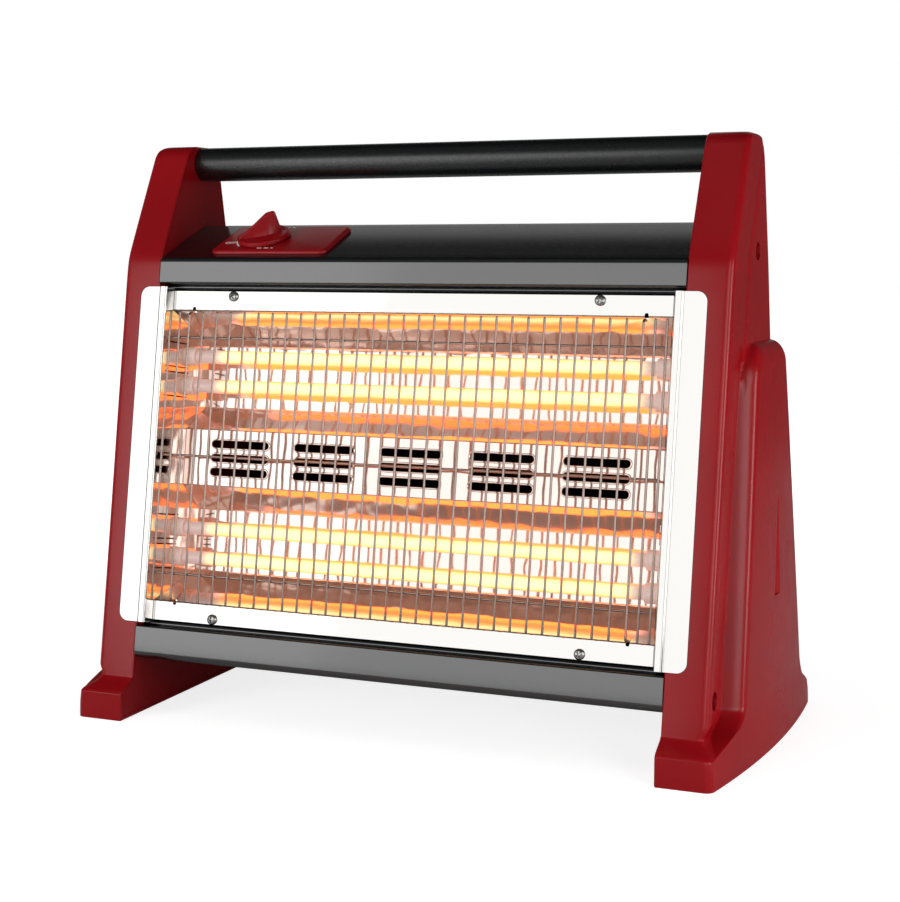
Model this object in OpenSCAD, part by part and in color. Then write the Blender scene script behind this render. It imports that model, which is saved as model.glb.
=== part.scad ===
// Free-standing electric bar heater. Four quartz tubes glow in a polished reflector of two
// troughs behind a wire guard. A painted sheet body hangs between two moulded end frames.
// Millimetres: X along the tubes, the front faces -Y, Z up, the floor is Z = 0.

/* [End frames] */
// Distance between the inner faces of the two end frames
body_w = 400; // [350:5:450]
// Thickness of an end frame at its front
frame_t = 30.5; // [28:0.5:36]
// Flare of an end frame's side towards the back, degrees
side_draft = 1.5; // [0:0.25:3]
// Depth of the feet, front to back
foot_d = 248; // [240:2:280]
// Height of the foot block
foot_h = 20; // [16:1:24]
// Height over which the foot block blends into the leg
foot_blend = 9; // [7:1:16]
// Setback of the leaning front from the toe, at floor level
front_set = 10.9; // [8:0.5:16]
// Setback of the leaning back from the heel, at floor level
rear_set = 12.4; // [8:0.2:16]
// Lean of the front from the vertical, degrees
lean = 9.5; // [7:0.5:12]
// Lean of the front above the cowl, degrees
lean_top = 28; // [22:1:30]
// Depth of the frame at its top, before the edges are rounded
top_d = 41.2; // [36:0.2:48]
// Height of the frame above the kink in its front
upper_h = 85.2; // [70:1:95]
// Wall of the end-frame moulding
wall = 3; // [2:0.5:4]
// Radius of the outer edges
edge_r = 5; // [3:0.5:7]
// Corner radius at the top of the frame
top_r = 10; // [7:0.5:12]
// Thickness of the inner cover
cover_t = 2.5; // [2:0.5:4]

/* [Cheek] */
// Reach of the cheek from the frame's inner face, at the floor
cheek_out = 53.8; // [50:0.2:60]
// Radius of the cheek's bulge in plan
cheek_r = 912; // [700:10:1200]
// Distance of the bulge's highest line behind the middle of the foot
cheek_back = 66; // [50:1:80]
// Flare of the foot block beyond the cheek, at the floor
foot_flare = 3.4; // [0:0.2:5]
// Inward lean of the cheek, degrees
cheek_lean = 2; // [1:0.25:3]
// Height of the cheek's rounded shoulder
shoulder_z = 279; // [240:1:300]
// Radius of the shoulder
shoulder_r = 15; // [8:1:20]
// Corner radius of the shoulder, seen from the side
shoulder_corner = 22; // [10:1:30]
// Distance of the cheek's edge behind the front
cheek_set = 48; // [44:1:52]
// Width of the rim in front of the groove
rim_w = 37.5; // [32:0.5:38]
// Depth of the groove between rim and cheek
groove_deep = 2.5; // [1:0.5:4]
// Height at which the rim ends in a rounded tongue
tongue_z = 29; // [26:1:40]
// Length of the flute in the cheek
flute_l = 68; // [40:1:80]
// Radius of the flute's lower end
flute_r = 14; // [8:0.5:16]
// Depth of the flute
flute_deep = 2; // [0.5:0.5:2]
// Height of the flute's lower end
flute_z = 102; // [90:1:140]
// Distance of the flute behind the middle of the foot
flute_y = 26; // [0:1:50]

/* [Front] */
// Height of the lower panel's top edge along the slope
panel_s = 68.4; // [64:0.2:76]
// Gap between the reflector's flange and the lip beside it
lip_gap = 4.8; // [2:0.2:6]
// Width of the reflector's flanges
flange_w = 14.2; // [13:0.2:20]
// Height of the reflector's opening
open_h = 215.7; // [195:0.3:240]
// Height of the cowl's front
fascia_h = 18.4; // [14:0.2:26]
// Setback of the reflector's flanges behind the front
recess = 7; // [5:0.5:9]
// Height of the body's underside above the floor
floor_z = 43; // [36:1:48]
// Slope of the cowl's top, degrees
cowl_slope = 21.2; // [18:0.1:26]
// Bend radius where the cowl turns over its ridge
ridge_r = 26; // [12:1:30]
// Setback of the rear panel from the back of the end frames
rear_inset = 9; // [6:0.5:14]
// Thickness of the painted sheet
sheet_t = 1; // [0.8:0.1:1.5]

/* [Reflector] */
// Thickness of the polished sheet
mirror_t = 0.8; // [0.6:0.1:1.2]
// Depth of the troughs behind the front
trough_deep = 46; // [42:1:52]
// Depth of the flat land between the troughs
land_deep = 28; // [24:1:32]
// Width of the land
land_w = 42; // [38:1:46]
// Width of a trough's flat back
back_w = 47; // [42:1:50]
// Distance from the middle to the near edge of a trough's back
back_in = 38.5; // [34:0.5:42]
// Length of a slot in the land
slot_l = 48; // [30:1:56]
// Width of a slot
slot_w = 6; // [4:0.5:7]
// Spacing of the slots in a group
slot_pitch = 10.4; // [8:0.2:12]
// Spacing of the groups of slots
slot_step = 69; // [60:1:74]
// Distance of the reflector's opening inside each end frame
open_set = 7.5; // [7.5:0.5:14]
// Flare of the reflector's ends, degrees
flare = 15; // [8:1:18]
// Width of the rolled bead on each side strip
bead_w = 5.9; // [4:0.1:7]
// Height of the bead
bead_h = 2; // [1.8:0.1:3]
// Overlap of a side strip onto the end frame
strip_lap = 14.5; // [10:0.5:18]
// Gap between a side strip and the lips above and below it
strip_gap = 2.6; // [0.4:0.2:4]
// Corner radius of a side strip
strip_r = 7; // [5:0.5:12]

/* [Guard] */
// Wire diameter
wire_d = 1.8; // [1.4:0.1:2.4]
// Spacing of the upright wires
wire_step = 11.5; // [9:0.5:14]
// Least gap between the guard and the ends of the opening
guard_gap = 3; // [2:0.5:8]
// Spacing of the two outer wires on each side
edge_step = 8; // [5:0.5:9]
// Spacing of the cross wires
cross_step = 87; // [70:1:95]

/* [Tubes] */
// Outside diameter of a quartz tube
tube_d = 10; // [8:0.5:11]
// Wall of a quartz tube
tube_t = 1; // [0.8:0.1:1.4]
// Spacing of the two tubes in a trough
tube_pitch = 22; // [18:0.5:26]
// Distance of a pair's middle from the middle of the front
pair_off = 64.2; // [58:0.2:70]
// Depth of the tubes behind the front
tube_deep = 26; // [22:0.5:30]
// Diameter of a ceramic end cap
cap_d = 14; // [13:0.5:16]
// Reach of a cap inside the reflector's end
cap_in = 8; // [5:0.5:12]
// Diameter of a terminal stud
stud_d = 4; // [3:0.5:5]
// Wire diameter of the heating coil
coil_wire = 0.9; // [0.7:0.1:1.1]
// Curls of one heating coil
coil_curls = 22; // [12:1:24]

/* [Handle] */
// Diameter of the carrying bar
handle_d = 25.4; // [20:0.2:27]
// Wall of the bar
handle_t = 1.5; // [1:0.1:2.5]
// Distance of the bar's axis below the top of the frames
handle_drop = 13.5; // [13.2:0.1:22]
// Length of an end plug
plug_l = 25; // [16:1:40]

/* [Control] */
// Width of the control plate
plate_w = 94.5; // [80:0.5:110]
// Depth of the control plate
plate_d = 52; // [48:1:54]
// Thickness of the control plate
plate_t = 3; // [2.5:0.5:5]
// Distance of the control plate's middle from the left end frame
plate_set = 84.8; // [70:0.2:110]
// Distance of the knob left of the plate's middle
knob_off = 13.4; // [8:0.2:20]
// Distance of the knob's axis up the slope
knob_up = 33; // [30:0.5:36]
// Diameter of the knob's skirt
knob_d = 40; // [34:1:44]
// Height of the knob's skirt
skirt_h = 3.5; // [3:0.5:5]
// Height of the knob's fin
fin_h = 15.7; // [14:0.1:22]
// Width of the fin
fin_w = 10; // [8:0.5:14]
// Heading of the fin's tip at the OFF mark, degrees
off_heading = 217; // [200:1:235]
// Diameter of the switch shaft
shaft_d = 6; // [5:0.5:7]
// Width of the switch's body
switch_w = 32; // [26:1:34]
// Height of the switch's body
switch_h = 20; // [16:1:26]

/* [Inner pieces] */
// Distance of the tilt switch from the right end frame
tilt_set = 80; // [50:1:110]
// Height of the tilt switch's pin above the tray
tilt_pin_h = 52; // [44:1:60]
// Pin diameter of the tilt switch
tilt_pin_d = 3; // [2.5:0.5:4]
// Length of the tilt switch's pendulum
tilt_l = 32; // [26:1:36]
// Diameter of the pendulum's weight
tilt_weight_d = 14; // [10:1:18]
// Diameter of the thermal cut-out
cutout_d = 15; // [12:0.5:18]
// Distance of the cord inlet from the left end frame
inlet_set = 50; // [36:1:80]
// Height of the cord inlet above the body's underside
inlet_h = 38; // [30:1:60]
// Bore of the cord inlet
inlet_bore = 8.5; // [7:0.5:9]
// Thread diameter of the sheet-metal screws
screw_d = 3.6; // [3:0.2:4]
// Head diameter of the sheet-metal screws
head_d = 7.6; // [6.5:0.1:8]
// Head height of the sheet-metal screws
head_h = 2.4; // [2:0.2:3]
// Distance of a bezel screw from the end frame
bezel_screw_set = 60; // [40:1:90]

/* [Hidden] */

// Clearance of sheet edges and loose fits
fit = 0.3;
// Radial clearance of a running fit
run_fit = 0.05;
// Shortest cut past a face, so that no skin is left
past = 1;
half_w = body_w / 2;
half_d = foot_d / 2;
front_y0 = -half_d + front_set;
rear_y0 = half_d - rear_set;
bezel_screw_x = half_w - bezel_screw_set;
plate_x = half_w - plate_set;
tilt_x = half_w - tilt_set;
inlet_x = half_w - inlet_set;

// Stations up the sloping front
flange_low_s = panel_s + lip_gap;
open_low_s = flange_low_s + flange_w;
open_top_s = open_low_s + open_h;
flange_top_s = open_top_s + flange_w;
fascia_s = flange_top_s + lip_gap;
kink_s = fascia_s + fascia_h;
mid_s = (open_low_s + open_top_s) / 2;
kink_z = kink_s * cos(lean);
frame_h = kink_z + upper_h;

// Places across the reflector
open_half = half_w - open_set;
wire_gaps = 2 * floor((open_half - 2 * edge_step - guard_gap) / wire_step);
hook_x = wire_gaps * wire_step / 2;
strip_out = half_w + strip_lap;
lip_n = -recess - mirror_t - fit / 3;
tube_s = [for (side = [1, -1], j = [1, -1]) mid_s + side * (pair_off + j * side * tube_pitch / 2)];
plate_at_tube = open_half - tube_deep * tan(flare);
cap_inner_x = plate_at_tube - cap_in;
socket_deep = 6;
tube_end_x = cap_inner_x + socket_deep;
cap_lip = 1.5;
cap_flange_d = cap_d + 2 * cap_lip;
wall_at_tube = plate_at_tube + mirror_t / cos(flare);
cap_flange_x = wall_at_tube + cap_flange_d / 2 * tan(flare) + fit;
cap_flange_t = 2.5;
cap_end_x = cap_flange_x + cap_flange_t;
link_t = 0.8;
nut_h = 2.4;
nut_af = 7;
stud_past = 0.6;
stud_end_x = cap_end_x + link_t + nut_h + stud_past;

// Places on the cowl and in the body
top_y = front_y0 + kink_s * sin(lean);
top_z = kink_z;
rear_lean = atan((rear_y0 - top_y - upper_h * tan(lean_top) - top_d) / frame_h);
knob_x = -plate_x - knob_off;
rear_lap = sheet_t + fit / 3;
cowl_hem_drop = 8;
cowl_hem_z = kink_z - cowl_hem_drop;
handle_z = frame_h - handle_drop;
screw_hole_d = screw_d + 2 * fit;
screw_hole_l = 8;
tray_top_z = floor_z + sheet_t;
tilt_y = 20;
tilt_gap = 12;

// End-frame screws: height, and distance behind the front
end_screw_rise = 5.2;
end_screw_lift = 8;
end_screw_z = [kink_z + end_screw_rise, floor_z + end_screw_lift];
end_screw_set = [64, 14];
boss_d = 11;
sink_d = 8;

red = "#9c1a20";
black = "#26282a";
steel = "#e6e6e4";

function mix(a, b, t) = a + (b - a) * t;
function ramp(a, b, v) = min(1, max(0, (v - a) / (b - a)));
function smooth(a, b, v) = let (t = ramp(a, b, v)) t * t * (3 - 2 * t);
function unit(v) = v / norm(v);

// Point of the front's slope: s up the slope from the floor, n out of the face, as [y, z]
function at(s, n) = [front_y0 + s * sin(lean) - n * cos(lean), s * cos(lean) + n * sin(lean)];

// Round off how far an edge has fallen at distance d inside it
function edge_fall(d, r) = d >= r ? 0 : r - sqrt(r * r - (r - max(0, d)) ^ 2);

// Front and back of an end frame at a height
function leaning_front(z) =
    let (low = front_y0 + z * tan(lean), high = top_y + (z - kink_z) * tan(lean_top))
    (low + high) / 2 + sqrt((high - low) ^ 2 / 4 + 1);
function top_fall(z) = let (d = frame_h - z) edge_fall(d, top_r);
function front_at(z) =
    mix(-half_d, leaning_front(z), mix(ramp(foot_h, foot_h + foot_blend, z),
        smooth(foot_h, foot_h + foot_blend, z), 0.5)) + top_fall(z);
function leaning_rear(z) = rear_y0 - z * tan(rear_lean);
function rear_at(z) =
    mix(half_d, leaning_rear(z), smooth(foot_h * 0.8, foot_h * 1.4, z)) - top_fall(z);

// Outer face of an end frame: rim, groove and bulged cheek as a reach from the inner face
groove_wall = 4;
groove_floor = 1.5;
groove_s = rim_w + 0.75 * groove_wall;
cheek_s = groove_s + groove_floor;
tongue_blend = 8;
sweep_share = 0.06;
sweep_top = 2 * foot_h;
function sweep(z) = mix(sweep_share, 1, sin(90 * ramp(0.9 * foot_h, sweep_top, z)));
function cheek_reach(y, z) =
    cheek_out - (y - cheek_back) ^ 2 / (2 * cheek_r) - z * tan(cheek_lean)
    + foot_flare * (1 - smooth(0.4 * foot_h, sweep_top, z));
function shoulder(z) =
    let (t = ramp(shoulder_z - shoulder_r, shoulder_z, z)) sqrt(max(0, 1 - t * t));
function reach(y, z) =
    let (
        d = y - front_at(z),
        k = sweep(z),
        side_x = frame_t + max(0, d) * tan(side_draft),
        floor_x = side_x - groove_deep * shoulder(z + shoulder_corner / 2),
        rim_x = mix(floor_x, side_x, smooth(tongue_z, tongue_z + tongue_blend, z)),
        into = smooth((groove_s - groove_wall) * k, groove_s * k, d),
        leg = smooth(0.7 * foot_h, 0.9 * foot_h, z),
        up = mix(1, smooth(cheek_s * k, cheek_set * k, d), leg),
        base = mix(rim_x, floor_x, into),
        corner = edge_fall(d - cheek_set * k + groove_wall, shoulder_corner),
        raised = mix(side_x, cheek_reach(y, z), shoulder(z + corner)))
    mix(base, raised, up)
    - edge_fall(d, edge_r) - edge_fall(rear_at(z) - y, edge_r) - edge_fall(frame_h - z, edge_r);

// Heights of the rows of the end frame's skin
near_row = 6;
frame_rows = concat(
    [0, foot_h - near_row / 2, foot_h],
    [for (t = [0.25, 0.5, 0.75, 1]) foot_h + t * foot_blend],
    [for (i = [1:3]) mix(foot_h + foot_blend, sweep_top, i / 3)],
    [for (i = [1:5]) mix(sweep_top, shoulder_z - shoulder_r, i / 6)],
    [for (t = [1, 0.6, 0.3, 0.1, 0]) shoulder_z - t * shoulder_r],
    [shoulder_z + near_row, mix(shoulder_z, kink_z, 0.6)],
    [kink_z - near_row, kink_z, kink_z + near_row],
    [for (t = [0.3, 0.65]) mix(kink_z, frame_h, t)],
    [for (t = [1, 0.6, 0.3, 0.1, 0]) frame_h - t * top_r]);
// Distances of the columns behind the front and before the back
edge_columns = [0, 0.16 * edge_r, 0.48 * edge_r, edge_r];
rim_columns = [groove_s - groove_wall, groove_s - groove_wall / 2, groove_s + groove_floor / 2,
    mix(cheek_s, cheek_set, 0.3), mix(cheek_s, cheek_set, 0.7), cheek_set];
mid_columns = 5;
column_count = 2 * len(edge_columns) + len(rim_columns) + mid_columns;

function column_y(i, z) =
    let (
        front = front_at(z), rear = rear_at(z), width = rear - front,
        e = len(edge_columns), m = len(rim_columns),
        squeeze = min(sweep(z), 0.6 * (width - 2 * edge_r) / (cheek_set - edge_r)),
        last = front + edge_r + (cheek_set - edge_r) * squeeze)
    i < e ? front + edge_columns[i]
    : i < e + m ? front + edge_r + (rim_columns[i - e] - edge_r) * squeeze
    : i < e + m + mid_columns ? mix(last, rear - edge_r, (i - e - m + 1) / (mid_columns + 1))
    : rear - edge_columns[column_count - 1 - i];

// Skin points: outside, or inside by the wall
function skin_point(i, z, inside) =
    let (y = column_y(i, z))
    !inside ? [half_w + reach(y, z), y, z]
    : let (
        part = (y - front_at(z)) / (rear_at(z) - front_at(z)),
        zi = wall + z * (frame_h - 2 * wall) / frame_h,
        yi = mix(front_at(zi) + wall, rear_at(zi) - wall, part))
        [half_w + reach(yi, zi) - wall, yi, zi];

// Hollow skin of the right end frame, open towards the body
module frame_skin() {
    nu = column_count;
    nv = len(frame_rows);
    outside = [for (z = frame_rows, i = [0:nu - 1]) skin_point(i, z, false)];
    inside = [for (z = frame_rows, i = [0:nu - 1]) skin_point(i, z, true)];
    border = concat([for (i = [0:nu - 1]) i], [for (j = [1:nv - 1]) j * nu + nu - 1],
        [for (i = [nu - 2:-1:0]) (nv - 1) * nu + i], [for (j = [nv - 2:-1:1]) j * nu]);
    nb = len(border);
    outer_rim = [for (b = border) [half_w, outside[b].y, outside[b].z]];
    inner_rim = [for (b = border) [half_w, inside[b].y, inside[b].z]];
    in0 = nu * nv;
    rim0 = 2 * in0;
    lip0 = rim0 + nb;
    skin_faces = [for (j = [0:nv - 2], i = [0:nu - 2], k = [0, 1])
        let (a = j * nu + i, b = a + 1, c = a + nu, d = c + 1) k == 0 ? [a, c, b] : [b, c, d]];
    lining_faces = [for (f = skin_faces) [f[0] + in0, f[2] + in0, f[1] + in0]];
    band = [for (k = [0:nb - 1]) let (m = (k + 1) % nb, a = border[k], b = border[m])
        each [[a, b, rim0 + k], [b, rim0 + m, rim0 + k],
            [rim0 + k, rim0 + m, lip0 + k], [rim0 + m, lip0 + m, lip0 + k],
            [lip0 + k, lip0 + m, in0 + a], [lip0 + m, in0 + b, in0 + a]]];
    polyhedron(concat(outside, inside, outer_rim, inner_rim),
        concat(skin_faces, lining_faces, band));
}

// Frames of reference
module on_front() translate([0, front_y0, 0]) rotate([90 - lean, 0, 0]) children();
module on_cowl() translate([0, top_y, top_z]) rotate([cowl_slope, 0, 0]) children();
module along_x(w) rotate([90, 0, 90]) linear_extrude(w, center = true) children();
module up_slope(s0, s1) {
    translate([0, s1, 0]) rotate([90, 0, 0]) linear_extrude(s1 - s0) children();
}
module rod_x(x0, x1, d) {
    translate([x0, 0, 0]) rotate([0, 90, 0]) cylinder(d = d, h = x1 - x0, $fn = 48);
}

// Sheet sections: a path with rounded corners, thickened to its left
bend_steps = 6;
function bend(a, b, c, r) =
    let (
        u = unit(a - b), v = unit(c - b), half = acos(u * v) / 2,
        reach = min(r / tan(half), norm(a - b) * 0.48, norm(c - b) * 0.48),
        radius = reach * tan(half), turn = 180 - 2 * half,
        centre = b + unit(u + v) * radius / sin(half),
        from = (b + u * reach - centre), to = (b + v * reach - centre))
    [for (k = [0:bend_steps]) let (t = k / bend_steps)
        centre + (sin(turn * (1 - t)) * from + sin(turn * t) * to) / sin(turn)];
function rounded(path, radii) =
    concat([path[0]],
        [for (i = [1:len(path) - 2]) each bend(path[i - 1], path[i], path[i + 1], radii[i - 1])],
        [path[len(path) - 1]]);
function left_of(a, b) = let (d = unit(b - a)) [-d.y, d.x];
function beside(path, t) =
    [for (i = [0:len(path) - 1])
        let (
            here = path[i], last = len(path) - 1,
            n1 = i > 0 ? left_of(path[i - 1], here) : left_of(here, path[i + 1]),
            n2 = i < last ? left_of(here, path[i + 1]) : n1,
            m = unit(n1 + n2))
        here + m * t / (m * n1)];
module sheet(path, t) {
    other = beside(path, t);
    polygon(concat(path, [for (i = [len(other) - 1:-1:0]) other[i]]));
}
module stadium(l, w) {
    square([l - w, w], center = true);
    for (x = [-1, 1]) translate([x * (l - w) / 2, 0]) circle(d = w, $fn = 32);
}
module rounded_plate(w, h, r) {
    square([w, h - 2 * r], center = true);
    square([w - 2 * r, h], center = true);
    for (x = [-1, 1], y = [-1, 1])
        translate([x * (w / 2 - r), y * (h / 2 - r)]) circle(r, $fn = 48);
}
// Pan-head screw, pointing down -Z from its seat
screw_tip = 1;
module screw(l) {
    dome = [for (a = [0:15:75]) [head_d / 2 * cos(a), head_h * sin(a)]];
    rotate_extrude($fn = 32)
        polygon(concat([[0, -l], [screw_d / 2, -l + screw_tip], [screw_d / 2, 0]], dome, [[0, head_h]]));
}
module mirrored(side) mirror([side < 0 ? 1 : 0, 0, 0]) children();

// End frames
function end_screw_y(i) = front_at(end_screw_z[i]) + end_screw_set[i];
module at_end_screws() {
    for (i = [0, 1])
        translate([half_w, end_screw_y(i), end_screw_z[i]]) rotate([0, 90, 0]) children();
}
sink_floor = 12;
end_screw_l = 16;
// Tapered scoop in the cheek's outer face, round at its lower end
module flute() {
    tip_r = flute_r / 14;
    low = [half_w + reach(flute_y, flute_z) + flute_r - flute_deep, flute_y, flute_z];
    high = [half_w + reach(flute_y, flute_z + flute_l) + tip_r, flute_y, flute_z + flute_l];
    lean_in = atan((high.x - low.x) / flute_l);
    translate(low) {
        sphere(flute_r, $fn = 48);
        rotate([0, lean_in, 0]) cylinder(r1 = flute_r, r2 = tip_r, h = norm(high - low), $fn = 48);
    }
}
module end_shell(side) {
    color(red) mirrored(side) difference() {
        union() {
            frame_skin();
            for (i = [0, 1]) translate([half_w + cover_t + fit, end_screw_y(i), end_screw_z[i]])
                rotate([0, 90, 0]) cylinder(d = boss_d, $fn = 32,
                    h = reach(end_screw_y(i), end_screw_z[i]) - wall / 2 - cover_t - fit);
        }
        at_end_screws() translate([0, 0, -past]) cylinder(d = screw_hole_d, h = frame_t, $fn = 32);
        at_end_screws() translate([0, 0, sink_floor]) cylinder(d = sink_d, h = 2 * frame_t, $fn = 32);
        flute();
        on_front() translate([half_w, (panel_s + fascia_s) / 2, -mirror_t - fit])
            linear_extrude(wall) rounded_plate(2 * (strip_lap + fit),
                fascia_s - panel_s - 2 * (strip_gap - fit), strip_r);
    }
}
module left_end_shell() end_shell(-1);
module right_end_shell() end_shell(1);

cover_rows = [for (z = frame_rows) wall + fit + z * (frame_h - 2 * (wall + fit)) / frame_h];
handle_y = (front_at(handle_z) + rear_at(handle_z)) / 2;
module end_cover(side) {
    front_line = [for (z = cover_rows) [front_at(z) + wall + fit, z]];
    rear_line = [for (i = [len(cover_rows) - 1:-1:0]) let (z = cover_rows[i])
        [rear_at(z) - wall - fit, z]];
    color(red) mirrored(side) difference() {
        translate([half_w + cover_t / 2, 0, 0]) along_x(cover_t) polygon(concat(front_line, rear_line));
        at_end_screws() translate([0, 0, -past])
            cylinder(d = screw_d, h = 2 * cover_t + past, $fn = 32);
        translate([0, handle_y, handle_z]) rod_x(half_w - past, half_w + 2 * cover_t, screw_hole_d);
    }
}
module left_end_cover() end_cover(-1);
module right_end_cover() end_cover(1);

// Painted sheet body
rear_line_y = function(z, inset) leaning_rear(z) - inset / cos(rear_lean);
ridge_gap = rear_inset + rear_lap;
ridge_z = (kink_z + (rear_y0 - ridge_gap / cos(rear_lean) - top_y) * tan(cowl_slope))
    / (1 + tan(rear_lean) * tan(cowl_slope));
body_len = body_w - 2 * fit;
hem_h = 14;
tray_hem_h = 20;
lip_in = 4;
tray_vent_x = 40;
tray_vent_y = -40;
tray_vent_l = 30;
tray_vent_w = 5;
fold_r = sheet_t + 0.6;
kink_r = 5;
chin_r = 9;
module cowl() {
    path = [at(open_top_s + lip_in, lip_n), at(fascia_s, lip_n), at(fascia_s, 0), at(kink_s, 0),
        [rear_line_y(ridge_z, ridge_gap), ridge_z],
        [rear_line_y(cowl_hem_z - hem_h, ridge_gap), cowl_hem_z - hem_h]];
    color(black) difference() {
        along_x(body_len) sheet(rounded(path, [fold_r, fold_r, kink_r, ridge_r]), -sheet_t);
        on_cowl() translate([knob_x, knob_up, -past - sheet_t])
            cylinder(d = bush_d + 2 * fit, h = 4 * past, $fn = 48);
        bezel_holes();
        at_rear_screws() cylinder(d = screw_d, h = screw_hole_l, center = true, $fn = 32);
    }
}
module base_tray() {
    path = [at(open_low_s - lip_in, lip_n), at(panel_s, lip_n), at(panel_s, 0),
        at(floor_z / cos(lean), 0), [rear_line_y(floor_z, ridge_gap), floor_z],
        [rear_line_y(floor_z + tray_hem_h, ridge_gap), floor_z + tray_hem_h]];
    color(black) difference() {
        along_x(body_len) sheet(rounded(path, [fold_r, fold_r, chin_r, 2 * fold_r]), sheet_t);
        bezel_holes();
        at_rear_screws() cylinder(d = screw_d, h = screw_hole_l, center = true, $fn = 32);
        for (i = [-2:2], j = [-1:1])
            translate([i * tray_vent_x, tray_vent_y + j * tray_vent_x / 2, floor_z - past])
                linear_extrude(4 * past) stadium(tray_vent_l, tray_vent_w);
    }
}
// Rear panel: flat sheet in its own frame, x across and t up the slope of the back
panel_lift = 5;
panel_low_z = floor_z + panel_lift;
panel_top_z = cowl_hem_z;
rear_screw_set = 20;
rear_screw_in = 7.5;
rear_screw_l = 6;
module on_rear() {
    translate([0, rear_y0, 0]) rotate([90 + rear_lean, 0, 0]) translate([0, 0, rear_inset]) children();
}
function rear_t(z) = z / cos(rear_lean);
vent_cols = 5;
vent_rows = 4;
vent_step = 16;
vent_band = 85;
module at_rear_screws() {
    on_rear() for (x = [-1, 0, 1], z = [panel_low_z + rear_screw_in, panel_top_z - rear_screw_in])
        translate([x * (half_w - rear_screw_set), rear_t(z), 0]) children();
}
module rear_panel() {
    color(black) difference() {
        on_rear() translate([-body_len / 2, rear_t(panel_low_z), 0])
            cube([body_len, rear_t(panel_top_z - panel_low_z), sheet_t]);
        on_rear() for (i = [0:vent_cols - 1], j = [0:vent_rows - 1], band = [-1, 1])
            translate([(i - (vent_cols - 1) / 2) * slot_step,
                rear_t(mid_s) + band * vent_band + (j - (vent_rows - 1) / 2) * vent_step, -past])
                linear_extrude(4 * past) stadium(slot_l, slot_w);
        at_rear_screws() cylinder(d = screw_hole_d, h = screw_hole_l, center = true, $fn = 32);
        at_inlet() cylinder(d = inlet_neck + fit, h = screw_hole_l, center = true, $fn = 48);
    }
}

// Reflector
module bezel_holes() {
    at_bezel_screws() cylinder(d = screw_d, h = screw_hole_l, center = true, $fn = 32);
}
bezel_screw_in = 10.6;
bezel_screw_l = 9;
notch_l = 8;
module at_bezel_screws() {
    on_front() for (x = [-1, 1], s = [open_low_s - bezel_screw_in, open_top_s + bezel_screw_in])
        translate([x * bezel_screw_x, s, -recess]) children();
}
function flare_half(n) = open_half + n * tan(flare);
module main_reflector() {
    side = [[flange_low_s, -recess], [open_low_s, -recess],
        [mid_s - back_in - back_w, -trough_deep], [mid_s - back_in, -trough_deep],
        [mid_s - land_w / 2, -land_deep]];
    path = concat(side, [for (i = [len(side) - 1:-1:0]) [2 * mid_s - side[i].x, side[i].y]]);
    gap = fit / cos(flare);
    deep = trough_deep + 2 * mirror_t;
    color(steel) difference() {
        on_front() intersection() {
            along_x(body_w) sheet(rounded(path, [for (i = [1:8]) 2 * mirror_t]), -mirror_t);
            translate([0, 2 * mid_s, 0]) rotate([90, 0, 0]) linear_extrude(4 * mid_s, center = true)
                polygon([[-flare_half(0) + gap, 0], [flare_half(0) - gap, 0],
                    [flare_half(-deep) - gap, -deep], [-flare_half(-deep) + gap, -deep]]);
        }
        on_front() for (i = [-2:2], j = [-1:1])
            translate([i * slot_step, mid_s + j * slot_pitch, -land_deep - 2 * past])
                linear_extrude(4 * past) stadium(slot_l, slot_w);
        on_front() for (x = [-1, 1], s = [open_low_s, open_top_s])
            translate([x * hook_x - wire_d, s - notch_l / 2, -recess - 3 * mirror_t])
                cube([2 * wire_d, notch_l, 3 * mirror_t + past]);
        bezel_holes();
    }
}
// A side reflector: polished strip on the end frame, rolled bead, and the flared end of the troughs
end_wall_lap = lip_in - 1;
lip_clear = 2;
slit_w = 1;
slit_gap = 1.2;
module side_reflector(side) {
    deep = trough_deep + 3 * mirror_t;
    low = panel_s + strip_gap;
    top = fascia_s - strip_gap;
    bead_x = open_half + bead_w;
    bead_in = bead_h / 4;
    roll_r = mirror_t + 0.5;
    path = [[strip_out, 0], [bead_x, 0], [bead_x - bead_in, bead_h], [open_half + 2 * bead_in, bead_h],
        [open_half, 0], [flare_half(-deep), -deep]];
    slit_s = cap_d / 2 + fit + slit_gap;
    color(steel) mirrored(side) on_front() difference() {
        up_slope(low, top) sheet(rounded(path, [for (i = [1:4]) roll_r]), mirror_t);
        for (end = [0, 1])
            translate([strip_out - strip_r, end == 0 ? low + strip_r : top - strip_r, -past - mirror_t])
                mirror([0, 1 - end, 0]) linear_extrude(2 * past + mirror_t) difference() {
                    square(strip_r + past);
                    circle(strip_r, $fn = 48);
                }
        for (span = [[low - past, open_low_s - end_wall_lap], [open_top_s + end_wall_lap, top + past]])
            translate([flare_half(-deep) - past, span[0], -deep - past])
                cube([half_w - flare_half(-deep), span[1] - span[0], deep + past - recess + lip_clear]);
        for (s = tube_s) translate([0, s, -tube_deep]) {
            rod_x(plate_at_tube - cap_d, half_w, cap_d + 2 * fit);
            for (j = [-1, 1])
                translate([plate_at_tube - cap_d, j * (slit_s + slit_w / 2) - slit_w / 2, 0])
                    cube([half_w - plate_at_tube + cap_d, slit_w, tube_deep - end_wall_lap]);
        }
    }
}
module left_side_reflector() side_reflector(-1);
module right_side_reflector() side_reflector(1);

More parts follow.
